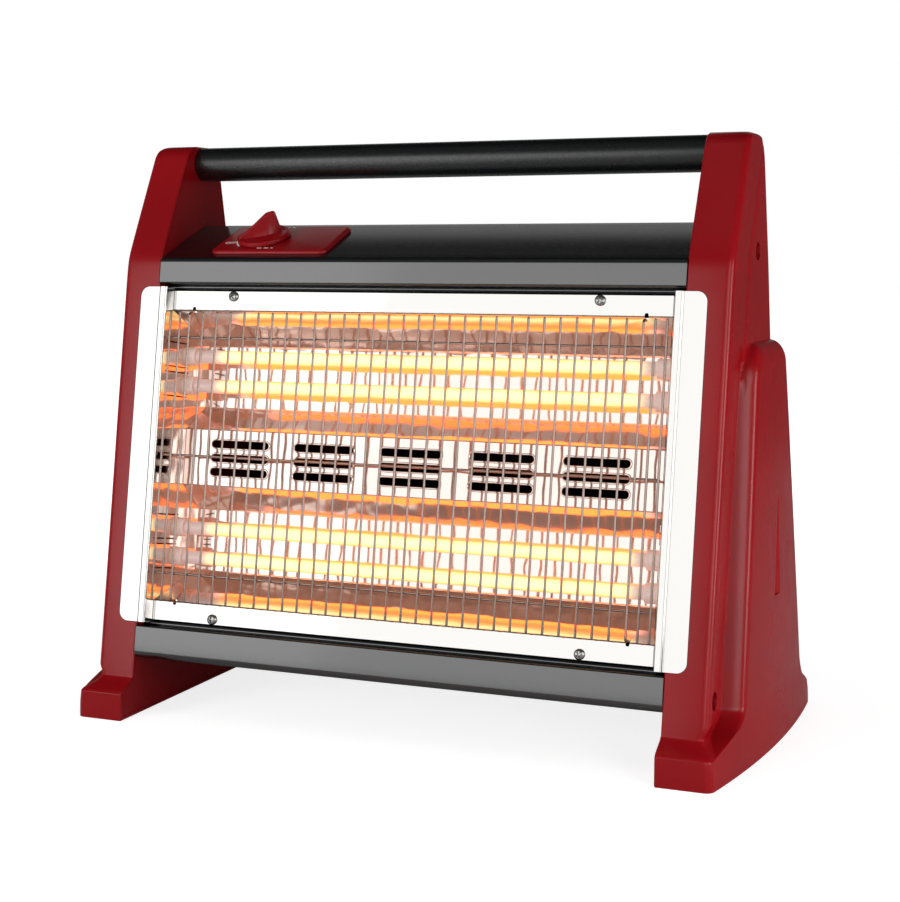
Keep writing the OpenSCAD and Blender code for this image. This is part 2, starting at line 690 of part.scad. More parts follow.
// Wire guard: uprights in front, cross wires behind, two hooked uprights
guard_n = -wire_d / 2;
weld = 0.3;
function upright_x() = concat([for (i = [0:wire_gaps]) -hook_x + i * wire_step],
    [for (side = [-1, 1], k = [1, 2]) side * (hook_x + k * edge_step)]);
module wire_guard() {
    low = open_low_s + fit;
    top = open_top_s - fit;
    cross_n = guard_n - wire_d + weld;
    cross_l = 2 * (hook_x + 2 * edge_step) + wire_d;
    color(steel) on_front() {
        for (x = upright_x()) translate([x, low, guard_n]) rotate([-90, 0, 0])
            cylinder(d = wire_d, h = top - low, $fn = 8);
        for (j = [-1:1]) translate([0, mid_s + j * cross_step, cross_n])
            rotate([0, 90, 0]) cylinder(d = wire_d, h = cross_l, center = true, $fn = 8);
        for (x = [-1, 1], s = [low, top]) translate([x * hook_x, s, lip_n + fit])
            translate([-wire_d / 2, s > mid_s ? -wire_d : 0, 0]) cube([wire_d, wire_d, guard_n - lip_n]);
    }
}

// Heating tubes
module at_tube(i) on_front() translate([0, tube_s[i], -tube_deep]) children();
module quartz_tube(i) {
    color("#fff3c8", 0.5) at_tube(i) difference() {
        rod_x(-tube_end_x, tube_end_x, tube_d);
        rod_x(-tube_end_x - past, tube_end_x + past, tube_d - 2 * tube_t);
    }
}
module quartz_tube_1() quartz_tube(0);
module quartz_tube_2() quartz_tube(1);
module quartz_tube_3() quartz_tube(2);
module quartz_tube_4() quartz_tube(3);

// Heating coil: one wire on a helix, led to the axis at both ends
coil_r = tube_d / 2 - tube_t - coil_wire / 2 - fit;
coil_lead = 14;
coil_end_x = tube_end_x + fit;
coil_half = coil_end_x - coil_lead;
coil_sides = 6;
coil_rings = 8 * coil_curls;
function coil_point(t) =
    let (x = mix(-coil_half, coil_half, t), a = 360 * coil_curls * t)
    [x, coil_r * cos(a), coil_r * sin(a)];
coil_path = concat([[-coil_end_x, 0, 0], [-coil_end_x + coil_lead / 2, 0, 0]],
    [for (k = [0:coil_rings]) coil_point(k / coil_rings)],
    [[coil_end_x - coil_lead / 2, 0, 0], [coil_end_x, 0, 0]]);
coil_gap = min([for (k = [0:coil_rings - 8], m = [6:10])
    let (a = coil_path[k + 2], b = coil_path[min(k + 2 + m, coil_rings + 2)]) norm(a - b) - coil_wire]);
echo(heating_coil_least_gap = coil_gap);
module heating_coil(i) {
    n = len(coil_path);
    ring = [for (k = [0:n - 1])
        let (
            ahead = unit(coil_path[min(n - 1, k + 1)] - coil_path[max(0, k - 1)]),
            along = k == 0 || k == n - 1 ? [1, 0, 0] : ahead,
            u = unit(cross(along, [0.31, 0.8, -0.52])), v = cross(along, u))
        [for (j = [0:coil_sides - 1]) let (a = 360 * j / coil_sides)
            coil_path[k] + coil_wire / 2 * (cos(a) * u + sin(a) * v)]];
    points = [for (r = ring) each r];
    walls = [for (k = [0:n - 2], j = [0:coil_sides - 1], half = [0, 1])
        let (
            a = k * coil_sides + j, b = k * coil_sides + (j + 1) % coil_sides,
            c = a + coil_sides, d = b + coil_sides)
        half == 0 ? [a, b, c] : [b, d, c]];
    last = (n - 1) * coil_sides;
    ends = [for (j = [1:coil_sides - 2]) each [[0, j + 1, j], [last, last + j, last + j + 1]]];
    color("#ff9a2e") at_tube(i) polyhedron(points, concat(walls, ends));
}
module heating_coil_1() heating_coil(0);
module heating_coil_2() heating_coil(1);
module heating_coil_3() heating_coil(2);
module heating_coil_4() heating_coil(3);

// Ceramic caps carry the tube ends in the side reflectors
module end_caps(side) {
    color("#dcd8cf") for (i = [0:3]) at_tube(i) mirrored(side) difference() {
        union() {
            rod_x(cap_inner_x, cap_end_x, cap_d);
            rod_x(cap_flange_x, cap_end_x, cap_flange_d);
        }
        rod_x(cap_inner_x - past, tube_end_x + run_fit, tube_d + 2 * run_fit);
        rod_x(tube_end_x, cap_end_x + past, stud_d + 2 * run_fit);
    }
}
module left_end_caps() end_caps(-1);
module right_end_caps() end_caps(1);
module terminal_studs() {
    color("#b8b4aa") for (i = [0:3], side = [-1, 1]) at_tube(i) mirrored(side)
        rod_x(coil_end_x, stud_end_x, stud_d);
}
// Brass links join the two tubes of a pair at each end
link_w = 10;
module terminal_links() {
    color("#c8a24a") on_front() for (side = [-1, 1], pair = [0, 1]) mirrored(side)
        translate([cap_end_x, (tube_s[2 * pair] + tube_s[2 * pair + 1]) / 2, -tube_deep])
            rotate([0, 90, 0]) linear_extrude(link_t) difference() {
                rotate(90) stadium(tube_pitch + link_w, link_w);
                for (j = [-1, 1])
                    translate([0, j * tube_pitch / 2]) circle(d = stud_d + 2 * run_fit, $fn = 32);
            }
}
module terminal_nuts() {
    color("#c9c9c6") for (i = [0:3], side = [-1, 1]) at_tube(i) mirrored(side)
        translate([cap_end_x + link_t, 0, 0]) rotate([0, 90, 0]) difference() {
            cylinder(d = nut_af / cos(30), h = nut_h, $fn = 6);
            translate([0, 0, -past]) cylinder(d = stud_d + 2 * run_fit, h = nut_h + 2 * past, $fn = 32);
        }
}

// Carrying bar
module at_handle() translate([0, handle_y, handle_z]) children();
bar_half = half_w - fit / 3;
handle_screw_l = 20;
module handle_bar() {
    color(black) at_handle() difference() {
        rod_x(-bar_half, bar_half, handle_d);
        rod_x(-half_w - past, half_w + past, handle_d - 2 * handle_t);
    }
}
module handle_plugs() {
    color("#3a3a3a") for (side = [-1, 1]) at_handle() mirrored(side) difference() {
        rod_x(bar_half - plug_l, bar_half, handle_d - 2 * handle_t - 2 * run_fit);
        rod_x(bar_half - plug_l - past, half_w + past, screw_d + 2 * run_fit);
    }
}
module handle_screws() {
    color(steel) for (side = [-1, 1]) at_handle() mirrored(side)
        translate([half_w + cover_t, 0, 0]) rotate([0, 90, 0]) screw(handle_screw_l);
}

// Control plate, knob and rotary switch
bush_d = 9.6;
bush_nut_h = 1.8;
bush_nut_d = 15;
bush_top = plate_t + bush_nut_h + 2 * fit;
knob_n = plate_t + 0.5;
under_knob = 2.6;
nut_room = 14;
plate_up = 8;
plate_edge = 1;
plate_r = 5;
knob_edge = 1.5;
fin_tip = 2;
fin_round = [2, 4, 3, 1];
module control_plate() {
    color(red) on_cowl() difference() {
        translate([-plate_x, plate_d / 2 + plate_up, 0]) {
            linear_extrude(plate_t - plate_edge) rounded_plate(plate_w, plate_d, plate_r);
            linear_extrude(plate_t)
                rounded_plate(plate_w - 2 * plate_edge, plate_d - 2 * plate_edge, plate_r);
        }
        translate([knob_x, knob_up, -past])
            cylinder(d = bush_d + 2 * fit, h = plate_t + 2 * past, $fn = 48);
    }
}
module at_knob() on_cowl() translate([knob_x, knob_up, 0]) rotate(off_heading) children();
module control_knob() {
    r = knob_d / 2;
    tip = r - knob_edge / 3;
    heel = -r + knob_edge;
    top = skirt_h + fin_h;
    side = rounded([[tip, 0], [tip, skirt_h], [-0.3 * r, top], [-0.72 * r, skirt_h + 0.5 * fin_h],
        [heel, 0.5 * skirt_h], [heel, 0]], fin_round);
    plan = [[r, -fin_tip / 2], [r, fin_tip / 2], [-0.2 * r, fin_w / 2], [-r, fin_w / 2],
        [-r, -fin_w / 2], [-0.2 * r, -fin_w / 2]];
    skirt_edge = [for (a = [0:15:90])
        [r - knob_edge + knob_edge * cos(a), skirt_h - knob_edge + knob_edge * sin(a)]];
    color(red) at_knob() translate([0, 0, knob_n]) difference() {
        union() {
            rotate_extrude($fn = 96) polygon(concat([[0, 0], [r, 0]], skirt_edge, [[0, skirt_h]]));
            intersection() {
                rotate([90, 0, 0]) linear_extrude(2 * fin_w, center = true) polygon(side);
                linear_extrude(2 * top) polygon(plan);
            }
        }
        translate([0, 0, -past]) cylinder(d = bush_d + nut_room, h = under_knob + past, $fn = 48);
        translate([0, 0, -past])
            cylinder(d = shaft_d + 2 * run_fit, h = skirt_h + 0.5 * fin_h + past, $fn = 48);
    }
}
module rotary_switch() {
    color("#303030") on_cowl() translate([knob_x, knob_up, 0]) difference() {
        union() {
            translate([-switch_w / 2, -switch_w / 2, -sheet_t - switch_h])
                cube([switch_w, switch_w, switch_h]);
            translate([0, 0, -sheet_t - past])
                cylinder(d = bush_d, h = bush_top + sheet_t + past, $fn = 48);
        }
        translate([0, 0, -sheet_t - 0.7 * switch_h])
            cylinder(d = shaft_d + 2 * run_fit, h = 2 * switch_h, $fn = 48);
    }
}
module switch_shaft() {
    low = -sheet_t - 0.7 * switch_h + run_fit;
    color("#b5b5b2") at_knob() translate([0, 0, low])
        cylinder(d = shaft_d, h = knob_n + skirt_h + 0.5 * fin_h - run_fit - low, $fn = 48);
}
module switch_nut() {
    color("#b5b5b2") on_cowl() translate([knob_x, knob_up, plate_t]) difference() {
        cylinder(d = bush_nut_d, h = bush_nut_h, $fn = 6);
        translate([0, 0, -past])
            cylinder(d = bush_d + 2 * run_fit, h = bush_nut_h + 2 * past, $fn = 48);
    }
}

// Tilt switch on the tray: a pendulum hangs from a pin between two cheeks
tilt_frame_t = 2;
tilt_base_d = 28;
tilt_cheek_low = 24;
tilt_cheek_top = 10;
tilt_over_pin = 5;
tilt_side_gap = 1;
tilt_eye_wall = 2.5;
tilt_rod_w = 4;
tilt_weight_h = 12;
tilt_w = tilt_gap + 2 * tilt_frame_t;
module at_tilt() translate([tilt_x, tilt_y, tray_top_z]) children();
module tilt_switch_frame() {
    top = tilt_pin_h + tilt_over_pin;
    color("#1f1f22") at_tilt() {
        translate([-tilt_w / 2, -tilt_base_d / 2, 0]) cube([tilt_w, tilt_base_d, tilt_frame_t]);
        for (side = [-1, 1]) translate([side * (tilt_gap + tilt_frame_t) / 2, 0, 0])
            along_x(tilt_frame_t) polygon([[-tilt_cheek_low / 2, 0], [tilt_cheek_low / 2, 0],
                [tilt_cheek_top / 2, top], [-tilt_cheek_top / 2, top]]);
        translate([0, 0, tilt_pin_h]) rod_x(-tilt_w / 2, tilt_w / 2, tilt_pin_d);
    }
}
module tilt_pendulum() {
    eye_w = tilt_gap - 2 * tilt_side_gap;
    color("#8d8f92") at_tilt() translate([0, 0, tilt_pin_h]) difference() {
        union() {
            rod_x(-eye_w / 2, eye_w / 2, tilt_pin_d + 2 * tilt_eye_wall);
            translate([-tilt_rod_w / 2, -tilt_rod_w / 2, -tilt_l]) cube([tilt_rod_w, tilt_rod_w, tilt_l]);
            translate([0, 0, -tilt_l - tilt_weight_h / 2])
                cylinder(d = min(tilt_weight_d, eye_w), h = tilt_weight_h, $fn = 48);
        }
        rod_x(-tilt_gap, tilt_gap, tilt_pin_d + 2 * run_fit);
    }
}

// Thermal cut-out on the back of the land: a flanged plate, a round body and two blades
cutout_plate_l = 28;
cutout_plate_r = 4;
cutout_plate_t = 1;
cutout_ear = 1.5;
cutout_h = 10;
blade_w = 6;
blade_t = 0.8;
blade_l = 9;
blade_off = 4;
module thermal_cutout() {
    color("#d8d4c8") on_front() translate([slot_step / 2, mid_s, -land_deep - mirror_t]) {
        translate([0, 0, -cutout_plate_t]) linear_extrude(cutout_plate_t)
            rounded_plate(cutout_d + 2 * cutout_ear, cutout_plate_l, cutout_plate_r);
        translate([0, 0, -cutout_h]) cylinder(d = cutout_d, h = cutout_h - cutout_plate_t / 2, $fn = 48);
        for (x = [-1, 1])
            translate([x * blade_off - blade_w / 2, -blade_t / 2, -cutout_h - blade_l + past])
                cube([blade_w, blade_t, blade_l]);
    }
}

// Mains terminal block on the tray: three towers with a wire hole and a screw hole each
block_l = 42;
block_d = 18;
block_h = 8;
tower_w = 10;
tower_d = 14;
tower_h = 17;
tower_step = 13;
wire_hole_d = 4;
wire_hole_z = 12;
block_screw_d = 4.5;
block_in = 30;
module terminal_block() {
    color("#e8e6df") translate([-inlet_x + block_in, block_in, tray_top_z]) difference() {
        union() {
            translate([-block_l / 2, -block_d / 2, 0]) cube([block_l, block_d, block_h]);
            for (k = [-1:1]) translate([k * tower_step - tower_w / 2, -tower_d / 2, 0])
                cube([tower_w, tower_d, tower_h]);
        }
        for (k = [-1:1]) translate([k * tower_step, 0, wire_hole_z]) {
            rotate([90, 0, 0]) cylinder(d = wire_hole_d, h = block_d + 2 * past, center = true, $fn = 32);
            cylinder(d = block_screw_d, h = tower_h, $fn = 32);
        }
    }
}

// Cord inlet bush, snapped into the rear panel
inlet_neck = 12;
inlet_flange_d = 16;
inlet_head = 5;
inlet_tail = 4;
inlet_lead = 1;
module at_inlet() on_rear() translate([-inlet_x, rear_t(floor_z + inlet_h), 0]) children();
module cord_inlet_bush() {
    bore_r = inlet_bore / 2;
    flange_r = inlet_flange_d / 2;
    color("#17181a") at_inlet() rotate_extrude($fn = 64) polygon([[bore_r, -inlet_head],
        [flange_r, -inlet_head], [flange_r, 0], [inlet_neck / 2, 0], [inlet_neck / 2, sheet_t],
        [flange_r, sheet_t], [flange_r, inlet_tail], [bore_r + inlet_lead, inlet_tail],
        [bore_r, inlet_tail - inlet_lead]]);
}

// Screws
module bezel_screws() {
    color(steel) at_bezel_screws() screw(bezel_screw_l);
}
module end_screws() {
    color("#4a4a4a") for (side = [-1, 1]) mirrored(side) at_end_screws()
        translate([0, 0, sink_floor]) screw(end_screw_l);
}
module rear_screws() {
    color("#4a4a4a") at_rear_screws() mirror([0, 0, 1]) screw(rear_screw_l);
}

left_end_shell();
right_end_shell();
left_end_cover();
right_end_cover();
cowl();
base_tray();
rear_panel();
main_reflector();
left_side_reflector();
right_side_reflector();
wire_guard();
quartz_tube_1();
quartz_tube_2();
quartz_tube_3();
quartz_tube_4();
heating_coil_1();
heating_coil_2();
heating_coil_3();
heating_coil_4();
left_end_caps();
right_end_caps();
terminal_studs();
terminal_links();
terminal_nuts();
handle_bar();
handle_plugs();
handle_screws();
control_plate();
control_knob();
rotary_switch();
switch_shaft();
switch_nut();
tilt_switch_frame();
tilt_pendulum();
thermal_cutout();
terminal_block();
cord_inlet_bush();
bezel_screws();
end_screws();
rear_screws();
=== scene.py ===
"""Looks of a free-standing quartz bar heater, built as an add-on around its packed construction."""
import math

import bmesh
import bpy
import numpy as np
from bpy.props import FloatProperty, FloatVectorProperty, IntProperty, PointerProperty
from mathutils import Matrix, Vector


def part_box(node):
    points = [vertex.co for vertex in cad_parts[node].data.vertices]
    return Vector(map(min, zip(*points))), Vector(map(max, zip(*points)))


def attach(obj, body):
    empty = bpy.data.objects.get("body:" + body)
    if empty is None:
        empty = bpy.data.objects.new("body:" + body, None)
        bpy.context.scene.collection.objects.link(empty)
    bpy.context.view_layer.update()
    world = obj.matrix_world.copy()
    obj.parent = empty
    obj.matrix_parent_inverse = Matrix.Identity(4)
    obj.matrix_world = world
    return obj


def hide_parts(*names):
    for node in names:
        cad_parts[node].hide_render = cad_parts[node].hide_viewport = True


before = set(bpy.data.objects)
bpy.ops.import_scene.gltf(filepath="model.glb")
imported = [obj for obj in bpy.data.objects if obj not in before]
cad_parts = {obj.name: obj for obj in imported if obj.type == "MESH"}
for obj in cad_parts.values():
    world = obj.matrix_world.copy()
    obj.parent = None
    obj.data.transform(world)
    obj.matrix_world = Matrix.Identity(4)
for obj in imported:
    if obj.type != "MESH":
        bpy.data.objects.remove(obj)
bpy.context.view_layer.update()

bl_info = {
    "name": "Quartz bar heater",
    "version": (1, 0, 0),
    "blender": (4, 5, 0),
    "location": "3D View > Sidebar > Heater",
    "description": "Dresses the heater's frame with its mouldings, sheet metal, guard and glowing tubes",
    "category": "Add Mesh",
}

MM = 0.001
BODY = "heater"
KNOB_BODY = "knob"
NEAR = 0.02  # millimetres within which two corners are one
INK = 0.12  # thickness of the printed marks in millimetres


def linear(colour):
    """An sRGB hex colour as linear RGBA."""
    parts = [int(colour[i:i + 2], 16) / 255 for i in (1, 3, 5)]
    return (*[c / 12.92 if c <= 0.04045 else ((c + 0.055) / 1.055) ** 2.4 for c in parts], 1.0)


def length(label, text, size):
    """A length property, given in millimetres and kept in metres."""
    return FloatProperty(name=label, description=text, default=size * MM, unit="LENGTH", precision=4)


def angle(label, text, degrees):
    """An angle property, given in degrees and kept in radians."""
    return FloatProperty(name=label, description=text, default=math.radians(degrees), subtype="ANGLE")


def colour(label, text, value):
    """A colour property, given as sRGB hex and kept linear."""
    return FloatVectorProperty(name=label, description=text, default=linear(value), size=4,
                               min=0, max=1, subtype="COLOR")


class HeaterEndFrame(bpy.types.PropertyGroup):
    """Sizes of the two moulded end frames."""
    half_w: length("Half width", "Middle of the body to the inner face of an end frame", 200)
    frame_t: length("Thickness", "Thickness of an end frame at its front", 30.5)
    side_draft: angle("Side draft", "Flare of a frame's side towards the back", 1.5)
    foot_d: length("Foot depth", "Depth of the feet, front to back", 248)
    foot_h: length("Foot height", "Height of the foot block", 20)
    foot_blend: length("Foot blend", "Height over which the foot blends into the leg", 9)
    front_set: length("Front setback", "Setback of the leaning front from the toe", 10.9)
    rear_set: length("Rear setback", "Setback of the leaning back from the heel", 12.4)
    lean: angle("Front lean", "Lean of the front from the vertical", 9.5)
    lean_top: angle("Upper lean", "Lean of the front above the cowl", 28)
    top_d: length("Top depth", "Depth of the frame at its top", 41.2)
    upper_h: length("Upper height", "Height of the frame above the kink in its front", 85.2)
    wall: length("Wall", "Wall of the moulding", 3)
    edge_r: length("Edge radius", "Radius of the outer edges", 5)
    top_r: length("Top radius", "Corner radius at the top of the frame", 10)
    inner_edge: length("Inner edge", "Round of the edge next to the body", 0.8)
    cheek_out: length("Cheek reach", "Reach of the cheek at the floor", 53.8)
    foot_flare: length("Foot flare", "Flare of the foot block beyond the cheek", 3.4)
    cheek_r: length("Cheek radius", "Radius of the cheek's bulge in plan", 912)
    cheek_back: length("Cheek middle", "The bulge's highest line, behind the middle", 66)
    cheek_lean: angle("Cheek lean", "Inward lean of the cheek", 2)
    shoulder_z: length("Shoulder height", "Height of the cheek's rounded shoulder", 279)
    shoulder_r: length("Shoulder radius", "Radius of the shoulder", 15)
    shoulder_corner: length("Shoulder corner", "Corner radius of the shoulder from the side", 22)
    cheek_set: length("Cheek setback", "Distance of the cheek's edge behind the front", 48)
    rim_w: length("Rim width", "Width of the rim in front of the groove", 37.5)
    groove_deep: length("Groove depth", "Depth of the groove between rim and cheek", 2.5)
    groove_wall: length("Groove wall", "Width of the groove's wall", 4)
    groove_floor: length("Groove floor", "Width of the groove's floor", 1.5)
    rim_crown: length("Rim crown", "Width of the rim's rounded rear edge", 7)
    tongue_z: length("Tongue height", "Height at which the rim ends in a tongue", 29)
    tongue_blend: length("Tongue blend", "Height over which the tongue ends", 8)
    flute_l: length("Flute length", "Length of the flute in the cheek", 68)
    flute_deep: length("Flute depth", "Depth of the flute's lower end", 2.4)
    flute_z: length("Flute height", "Height of the flute's lower end", 102)
    flute_y: length("Flute place", "Distance of the flute behind the middle", 26)
    sink_d: length("Screw sink", "Diameter of the sink over an end screw", 8)
    sink_floor: length("Sink floor", "Depth of the sink's floor from the inner face", 12)


class HeaterBody(bpy.types.PropertyGroup):
    """Sizes of the painted sheet body and the control plate."""
    panel_s: length("Panel height", "Lower panel's top edge along the slope", 68.4)
    lip_gap: length("Lip gap", "Gap between the reflector's flange and the lip", 4.8)
    flange_w: length("Flange width", "Width of the reflector's flanges", 14.2)
    open_h: length("Opening height", "Height of the reflector's opening", 215.7)
    fascia_h: length("Fascia height", "Height of the cowl's front", 18.4)
    recess: length("Recess", "Setback of the flanges behind the front", 7)
    floor_z: length("Underside", "Height of the body's underside", 43)
    cowl_slope: angle("Cowl slope", "Slope of the cowl's top", 21.2)
    ridge_r: length("Ridge radius", "Bend where the cowl turns over its ridge", 26)
    kink_r: length("Kink radius", "Bend between the cowl's front and top", 5)
    chin_r: length("Chin radius", "Bend under the lower panel", 5)
    rear_inset: length("Rear inset", "Setback of the rear panel", 9)
    sheet_t: length("Sheet", "Thickness of the painted sheet", 1)
    hem_h: length("Hem", "Height of the cowl's rear hem", 14)
    tray_hem_h: length("Tray hem", "Height of the tray's rear hem", 20)
    cowl_hem_drop: length("Hem drop", "Drop of the hem's top below the kink", 8)
    plate_w: length("Plate width", "Width of the control plate", 94.5)
    plate_d: length("Plate depth", "Depth of the control plate", 52)
    plate_t: length("Plate thickness", "Thickness of the control plate", 3)
    plate_r: length("Plate corner", "Corner radius of the control plate", 6)
    plate_x: length("Plate place", "Middle of the plate, left of the middle", 115.2)
    plate_up: length("Plate rise", "Plate's front edge above the kink", 8)
    knob_x: length("Knob place", "Knob's axis, left of the middle", 128.6)
    knob_up: length("Knob rise", "Distance of the knob's axis up the slope", 33)
    knob_d: length("Knob", "Diameter of the knob's skirt", 40)
    skirt_h: length("Skirt", "Height of the knob's skirt", 3.5)
    fin_h: length("Fin height", "Height of the knob's fin", 15.7)
    fin_w: length("Fin width", "Width of the fin at its foot", 12)
    knob_gap: length("Knob gap", "Gap under the knob", 0.5)
    shaft_d: length("Shaft", "Diameter of the switch's shaft", 6)
    off_heading: angle("Off heading", "Heading of the fin's tip at rest", 217)


class HeaterFire(bpy.types.PropertyGroup):
    """Sizes of the reflector, the guard and the heating tubes."""
    mirror_t: length("Sheet", "Thickness of the polished sheet", 0.8)
    trough_deep: length("Trough depth", "Depth of the troughs behind the front", 46)
    land_deep: length("Land depth", "Depth of the flat land between the troughs", 28)
    land_w: length("Land width", "Width of the land", 42)
    back_w: length("Back width", "Width of a trough's flat back", 47)
    back_in: length("Back place", "Middle to the near edge of a trough's back", 38.5)
    slot_l: length("Slot length", "Length of a slot in the land", 48)
    slot_w: length("Slot width", "Width of a slot", 6)
    slot_pitch: length("Slot spacing", "Spacing of the slots in a group", 10.4)
    slot_step: length("Group spacing", "Spacing of the groups of slots", 69)
    slot_lip: length("Slot lip", "Height of the pressed lip round a slot", 0.7)
    open_set: length("Opening set", "Opening's end inside each end frame", 7.5)
    flare: angle("Flare", "Flare of the reflector's ends", 15)
    bead_w: length("Bead width", "Width of the rolled bead on a side strip", 5.9)
    bead_h: length("Bead height", "Height of the bead", 1.4)
    strip_lap: length("Strip lap", "Overlap of a side strip onto the end frame", 14.5)
    strip_gap: length("Strip gap", "Gap between a side strip and the lips above and below it", 2.6)
    strip_r: length("Strip corner", "Corner radius of a side strip", 7)
    fit: length("Fit", "Clearance of sheet edges", 0.3)
    wire_d: length("Wire", "Diameter of the guard's wire", 1.8)
    wire_step: length("Wire spacing", "Spacing of the upright wires", 11.5)
    wire_gaps: IntProperty(name="Wire gaps", description="Gaps between the hooked wires", default=30)
    edge_step: length("Edge spacing", "Spacing of the outer wires", 8)
    cross_step: length("Cross spacing", "Spacing of the cross wires", 87)
    tube_d: length("Tube", "Outside diameter of a quartz tube", 10)
    tube_t: length("Tube wall", "Wall of a quartz tube", 1)
    tube_pitch: length("Tube spacing", "Spacing of the two tubes in a trough", 22)
    pair_off: length("Pair place", "Middle of the front to a pair's middle", 64.2)
    tube_deep: length("Tube depth", "Depth of the tubes behind the front", 26)
    cap_d: length("Cap", "Diameter of a ceramic end cap", 14)
    cap_in: length("Cap reach", "Reach of a cap inside the reflector's end", 8)
    socket_deep: length("Socket", "Depth of a tube in its cap", 6)
    coil_wire: length("Coil wire", "Wire diameter of a heating coil", 0.9)
    coil_lead: length("Coil lead", "Length of a coil's straight end", 14)
    coil_curls: IntProperty(name="Curls", description="Curls of one heating coil", default=110)
    glow_half: length("Glow", "Half the length of a tube that glows", 154)
    glow_mid: length("Glow middle", "Middle of the glow, right of the middle", 6)
    glow_fade: length("Glow fade", "Length over which the glow ends", 18)


class HeaterColours(bpy.types.PropertyGroup):
    """Colours of the finishes."""
    red: colour("Red", "Moulded end frames, plate and knob", "#8c0a12")
    black: colour("Black", "Stoved enamel on the sheet body", "#0b0d0e")
    steel: colour("Polished sheet", "Side strips and flanges", "#d3d1ce")
    heated: colour("Heated sheet", "Polished sheet behind the flanges", "#d9cec8")
    # Painted glow: emission colour on the heated sheet and the steatite, standing in for scattered coil light
    haze: colour("Haze", "Light of the coils scattered by the heated sheet and the steatite", "#c88468")
    wire: colour("Guard wire", "Plated wire of the guard", "#ab9a92")
    glow: colour("Glow", "Front of a lit tube", "#fdea8c")
    flame: colour("Flame", "Sides of a lit tube", "#f8ab30")
    ember: colour("Ember", "Back of a lit tube and its ends", "#f0641c")
    # Also the colour of the painted pale glow on the tubes' cold ends
    quartz: colour("Quartz", "Cold ends of the tubes", "#c4aaa4")
    ceramic: colour("Ceramic", "End caps of the tubes", "#f0e2db")
    ink: colour("Ink", "Printed marks on the control plate", "#f4efe9")


def values(group):
    """A property group's values by name: lengths in millimetres, angles in radians."""
    kept = [p for p in group.bl_rna.properties if p.identifier not in ("rna_type", "name")]
    return {p.identifier: getattr(group, p.identifier) / MM if p.unit == "LENGTH"
            else getattr(group, p.identifier) for p in kept}


class Layout:
    """Places worked out from the sizes: stations up the front, the cowl's corner and the back."""

    def __init__(self):
        scene = bpy.context.scene
        for group in (scene.heater_frame, scene.heater_body, scene.heater_fire):
            self.__dict__.update(values(group))
        self.front_y0 = -self.foot_d / 2 + self.front_set
        self.rear_y0 = self.foot_d / 2 - self.rear_set
        self.flange_low_s = self.panel_s + self.lip_gap
        self.open_low_s = self.flange_low_s + self.flange_w
        self.open_top_s = self.open_low_s + self.open_h
        self.flange_top_s = self.open_top_s + self.flange_w
        self.fascia_s = self.flange_top_s + self.lip_gap
        self.kink_s = self.fascia_s + self.fascia_h
        self.mid_s = (self.open_low_s + self.open_top_s) / 2
        self.kink_z = self.kink_s * math.cos(self.lean)
        self.frame_h = self.kink_z + self.upper_h
        self.top_y = self.front_y0 + self.kink_s * math.sin(self.lean)
        top_rear = self.top_y + self.upper_h * math.tan(self.lean_top) + self.top_d
        self.rear_lean = math.atan((self.rear_y0 - top_rear) / self.frame_h)
        self.open_half = self.half_w - self.open_set
        self.lip_n = -self.recess - self.mirror_t - self.fit / 3
        self.tube_s = [self.mid_s + a * (self.pair_off + b * self.tube_pitch / 2)
                       for a, b in ((1, 1), (1, -1), (-1, -1), (-1, 1))]
        self.plate_at_tube = self.open_half - self.tube_deep * math.tan(self.flare)
        self.cap_inner_x = self.plate_at_tube - self.cap_in
        self.tube_end_x = self.cap_inner_x + self.socket_deep
        self.hook_x = self.wire_gaps * self.wire_step / 2

    def on_front(self, x, s, n):
        """Points of the sloping front: x across, s up the slope from the floor, n out of the face."""
        x, s, n = np.broadcast_arrays(x, s, n)
        c, k = math.cos(self.lean), math.sin(self.lean)
        return np.stack([x, self.front_y0 + s * k - n * c, s * c + n * k], -1)

    def on_cowl(self, x, u, n):
        """Points of the cowl's top: x across, u up its slope from the kink, n out of it."""
        x, u, n = np.broadcast_arrays(x, u, n)
        c, k = math.cos(self.cowl_slope), math.sin(self.cowl_slope)
        return np.stack([x, self.top_y + u * c - n * k, self.kink_z + u * k + n * c], -1)

    def on_rear(self, x, t, n):
        """Points of the rear panel's face: x across, t up its slope from the floor, n outwards."""
        x, t, n = np.broadcast_arrays(x, t, n)
        c, k = math.cos(self.rear_lean), math.sin(self.rear_lean)
        deep = self.rear_inset - n
        return np.stack([x, self.rear_y0 - t * k - deep * c, t * c - deep * k], -1)

    def front_section(self, s, n):
        """A point of the sloping front as [y, z]."""
        return self.on_front(0, s, n)[1:]

    def rear_y(self, z, inset):
        """Depth of a line parallel to the back, inset from it, at a height."""
        return self.rear_y0 - z * math.tan(self.rear_lean) - inset / math.cos(self.rear_lean)

    def flare_half(self, n):
        """Half width of the flared opening at a depth."""
        return self.open_half + n * math.tan(self.flare)


def smooth(a, b, v):
    """Smooth step from 0 at a to 1 at b."""
    t = np.clip((v - a) / (b - a), 0, 1)
    return t * t * (3 - 2 * t)


def mix(a, b, t):
    """Value a share t of the way from a to b."""
    return a + (b - a) * t


def unit(v):
    """Vectors of length one along the last axis."""
    return v / np.linalg.norm(v, axis=-1, keepdims=True)


def edge_fall(d, r):
    """How far a round edge of radius r has fallen at distance d inside it."""
    inside = np.clip(r - np.maximum(d, 0), 0, r)
    return r - np.sqrt(r * r - inside ** 2)


